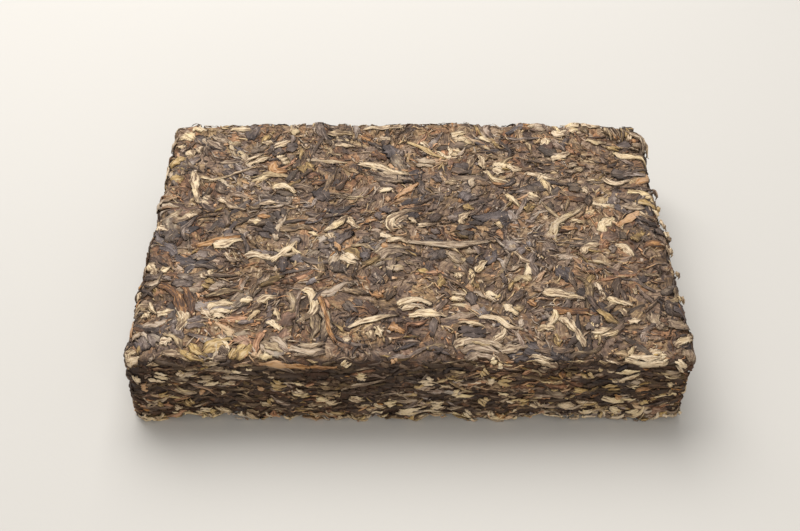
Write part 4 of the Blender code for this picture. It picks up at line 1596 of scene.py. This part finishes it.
class TEA_OT_pale_buds(LeafOperator, Operator):
    """Lays the pale buds, with those that stand out where they lie on this brick"""

    bl_idname = "tea.pale_buds"
    bl_label = "Pale Buds"
    kind = "pale_buds"
    slot = "pale_bud"
    bends = (1.2, 0.4)
    marks = BUD_MARKS
    raised_marks = RAISED_BUD_MARKS
    wall_marks = WALL_BUD_MARKS
    hues = 0.3
    fibre = 1.3

    def shapes(self):
        fine = [
            rolled_leaf("bud", 12, 10, 0.75, 60, 0.35, 0.8, 0.05, 21),
            rolled_leaf("rolled bud", 12, 10, 0.7, -80, 0.5, 0.7, 0.06, 22),
            rolled_leaf("blunt bud", 12, 9, 0.7, 40, 0.6, 0.7, 0.07, 23),
        ]
        finest = [
            rolled_leaf("long bud", 14, 12, 0.8, 40, 0.5, 0.75, 0.035, 26),
            rolled_leaf("open bud", 14, 12, 0.75, -25, 0.6, 0.75, 0.04, 27),
            rolled_leaf("bent bud", 14, 12, 0.85, 15, 0.3, 0.8, 0.03, 28),
        ]
        return SimpleNamespace(top=fine, rest=layered_shapes(24), marks=finest)


class TEA_OT_stems(LeafOperator, Operator):
    """Lays the stems and stalks, with those that stand out where they lie on this brick"""

    bl_idname = "tea.stems"
    bl_label = "Stems"
    kind = "stems"
    slot = "rust_stem"
    bends = (0.35, 0.1)
    marks = STEM_MARKS
    raised_marks = RAISED_STEM_MARKS
    wall_marks = WALL_STEM_MARKS
    hues = 0.3
    spread = 1.1
    rough = (0.45, 0.7)

    def shapes(self):
        stems = [
            rolled_leaf("stem", 6, 6, 0.85, 20, 0.5, 0.9, 0.04, 31),
            rolled_leaf("split stem", 6, 6, 0.6, -15, 0.3, 0.8, 0.06, 32),
        ]
        finest = [
            rolled_leaf("long stem", 12, 10, 0.85, 15, 0.7, 0.9, 0.025, 33),
            rolled_leaf("torn stem", 12, 10, 0.75, -10, 0.5, 0.7, 0.04, 34),
        ]
        return SimpleNamespace(top=stems, rest=stems, marks=finest)


class TEA_OT_olive_leaves(LeafOperator, Operator):
    """Lays the young olive leaves, with those that stand out where they lie on this brick"""

    bl_idname = "tea.olive_leaves"
    bl_label = "Olive Leaves"
    kind = "olive_leaves"
    slot = "olive_leaf"
    bends = (0.7, 0.2)
    marks = OLIVE_MARKS
    raised_marks = RAISED_OLIVE_MARKS
    wall_marks = WALL_OLIVE_MARKS
    hues = 0.2
    spread = 0.6

    def shapes(self):
        leaves = [
            rolled_leaf("young leaf", 10, 7, 0.75, 15, 0.3, 0.5, 0.05, 41),
            rolled_leaf("curled leaf", 10, 7, 0.6, 60, 0.4, 0.6, 0.06, 42),
        ]
        finest = [
            rolled_leaf("long young leaf", 14, 10, 0.8, 10, 0.4, 0.6, 0.03, 43),
            rolled_leaf("folded young leaf", 14, 10, 0.7, -20, 0.5, 0.7, 0.04, 44),
        ]
        return SimpleNamespace(top=leaves, rest=layered_shapes(45), marks=finest)


class TEA_OT_shreds(LeafOperator, Operator):
    """Lays the torn threads of leaf that bind the mash"""

    bl_idname = "tea.shreds"
    bl_label = "Shreds"
    kind = "shreds"
    slot = "pressed_tea"
    bends = (0.9, 0.35)
    fibre = 0.5
    spread = 0.65
    hues = 1.2

    def shapes(self):
        threads = [
            rolled_leaf("shred", 4, 4, 0.8, 60, 0.4, 0.6, 0.08, 46),
            rolled_leaf("torn shred", 4, 4, 0.7, -40, 0.6, 0.8, 0.1, 47),
        ]
        return SimpleNamespace(top=threads, rest=threads)


class TEA_OT_crumbs(LeafOperator, Operator):
    """Scatters the broken bits that fill the gaps between the leaves"""

    bl_idname = "tea.crumbs"
    bl_label = "Crumbs"
    kind = "crumbs"
    slot = "pressed_tea"
    bends = (0.2, 0.1)
    fibre = 0.7
    spread = 0.8
    hues = 1.1

    def shapes(self):
        bits = [broken_bit(f"crumb {number}", number, 0.16) for number in (51, 52, 53, 54)]
        return SimpleNamespace(top=bits, rest=bits)


class TEA_OT_stage(Operator):
    """Sets up the floor, the soft light and the camera"""

    bl_idname = "tea.stage"
    bl_label = "Floor, Light and Camera"
    bl_options = {"REGISTER", "UNDO"}

    def execute(self, context):
        settings = context.scene.tea_stage
        deselect_all()
        bpy.ops.mesh.primitive_plane_add(size=6.0, location=(0, 0, 0))
        floor = context.object
        floor.name = "floor"
        floor.data.materials.append(floor_finish(settings.floor_colour))
        soft_light("key", (-0.15, 0.38, 0.66), 0.7, settings.key_power, (1.0, 0.98, 0.95))
        soft_light("fill", (0.22, -0.92, 0.52), 0.8, settings.fill_power, (1.0, 0.93, 0.82))
        context.scene.world = sky(settings.sky_strength)
        context.scene.view_settings.view_transform = "Standard"
        place_camera(context, settings)
        return {"FINISHED"}


def soft_light(name, place, size, power, tint):
    """A square soft box that faces the middle of the brick."""
    deselect_all()
    aim = Vector((0, 0, 0.01)) - Vector(place)
    bpy.ops.object.light_add(type="AREA", location=place, rotation=aim.to_track_quat("-Z", "Y").to_euler())
    lamp = bpy.context.object
    lamp.name = name
    lamp.data.shape = "SQUARE"
    lamp.data.size = size
    lamp.data.energy = power
    lamp.data.color = tint


def sky(strength):
    """Even, neutral light from all round."""
    world = bpy.data.worlds.new("sky")
    world.use_nodes = True
    back = world.node_tree.nodes["Background"]
    back.inputs["Color"].default_value = (1.0, 1.0, 1.0, 1.0)
    back.inputs["Strength"].default_value = strength
    return world


def place_camera(context, settings):
    """A camera in front of the brick that looks down on it."""
    deselect_all()
    rotation = (math.pi / 2 - settings.camera_tilt, 0.0, 0.0)
    bpy.ops.object.camera_add(location=settings.camera_place, rotation=rotation)
    camera = context.object
    camera.data.sensor_width = 36.0
    camera.data.lens = settings.camera_lens
    camera.data.clip_start = 1 * MM
    context.scene.camera = camera


class TEA_PT_brick(Panel):
    """Lists the steps that dress the brick, in the order they are made"""

    bl_label = "Pressed Tea Brick"
    bl_idname = "TEA_PT_brick"
    bl_space_type = "VIEW_3D"
    bl_region_type = "UI"
    bl_category = "Tea"

    def draw(self, context):
        for operator in OPERATORS:
            self.layout.operator(operator.bl_idname)


GROUPS = {
    "tea_core": TEA_PG_core,
    "tea_broad_leaves": TEA_PG_broad_leaves,
    "tea_dark_strips": TEA_PG_dark_strips,
    "tea_grey_strips": TEA_PG_grey_strips,
    "tea_pale_buds": TEA_PG_pale_buds,
    "tea_stems": TEA_PG_stems,
    "tea_olive_leaves": TEA_PG_olive_leaves,
    "tea_shreds": TEA_PG_shreds,
    "tea_crumbs": TEA_PG_crumbs,
    "tea_stage": TEA_PG_stage,
}
OPERATORS = (
    TEA_OT_core,
    TEA_OT_broad_leaves,
    TEA_OT_dark_strips,
    TEA_OT_grey_strips,
    TEA_OT_pale_buds,
    TEA_OT_stems,
    TEA_OT_olive_leaves,
    TEA_OT_shreds,
    TEA_OT_crumbs,
    TEA_OT_stage,
)
CLASSES = (*GROUPS.values(), *OPERATORS, TEA_PT_brick)


def register():
    """Adds the classes, and their settings to every scene."""
    for each in CLASSES:
        bpy.utils.register_class(each)
    for name, group in GROUPS.items():
        setattr(bpy.types.Scene, name, PointerProperty(type=group))


def unregister():
    """Takes the settings and the classes away again."""
    for name in GROUPS:
        delattr(bpy.types.Scene, name)
    for each in reversed(CLASSES):
        bpy.utils.unregister_class(each)


def main():
    """Dresses the brick and sets the stage; each piece prints its size as it is made."""
    register()
    for operator in OPERATORS:
        group, name = operator.bl_idname.split(".")
        getattr(getattr(bpy.ops, group), name)()


if __name__ == "__main__":
    main()
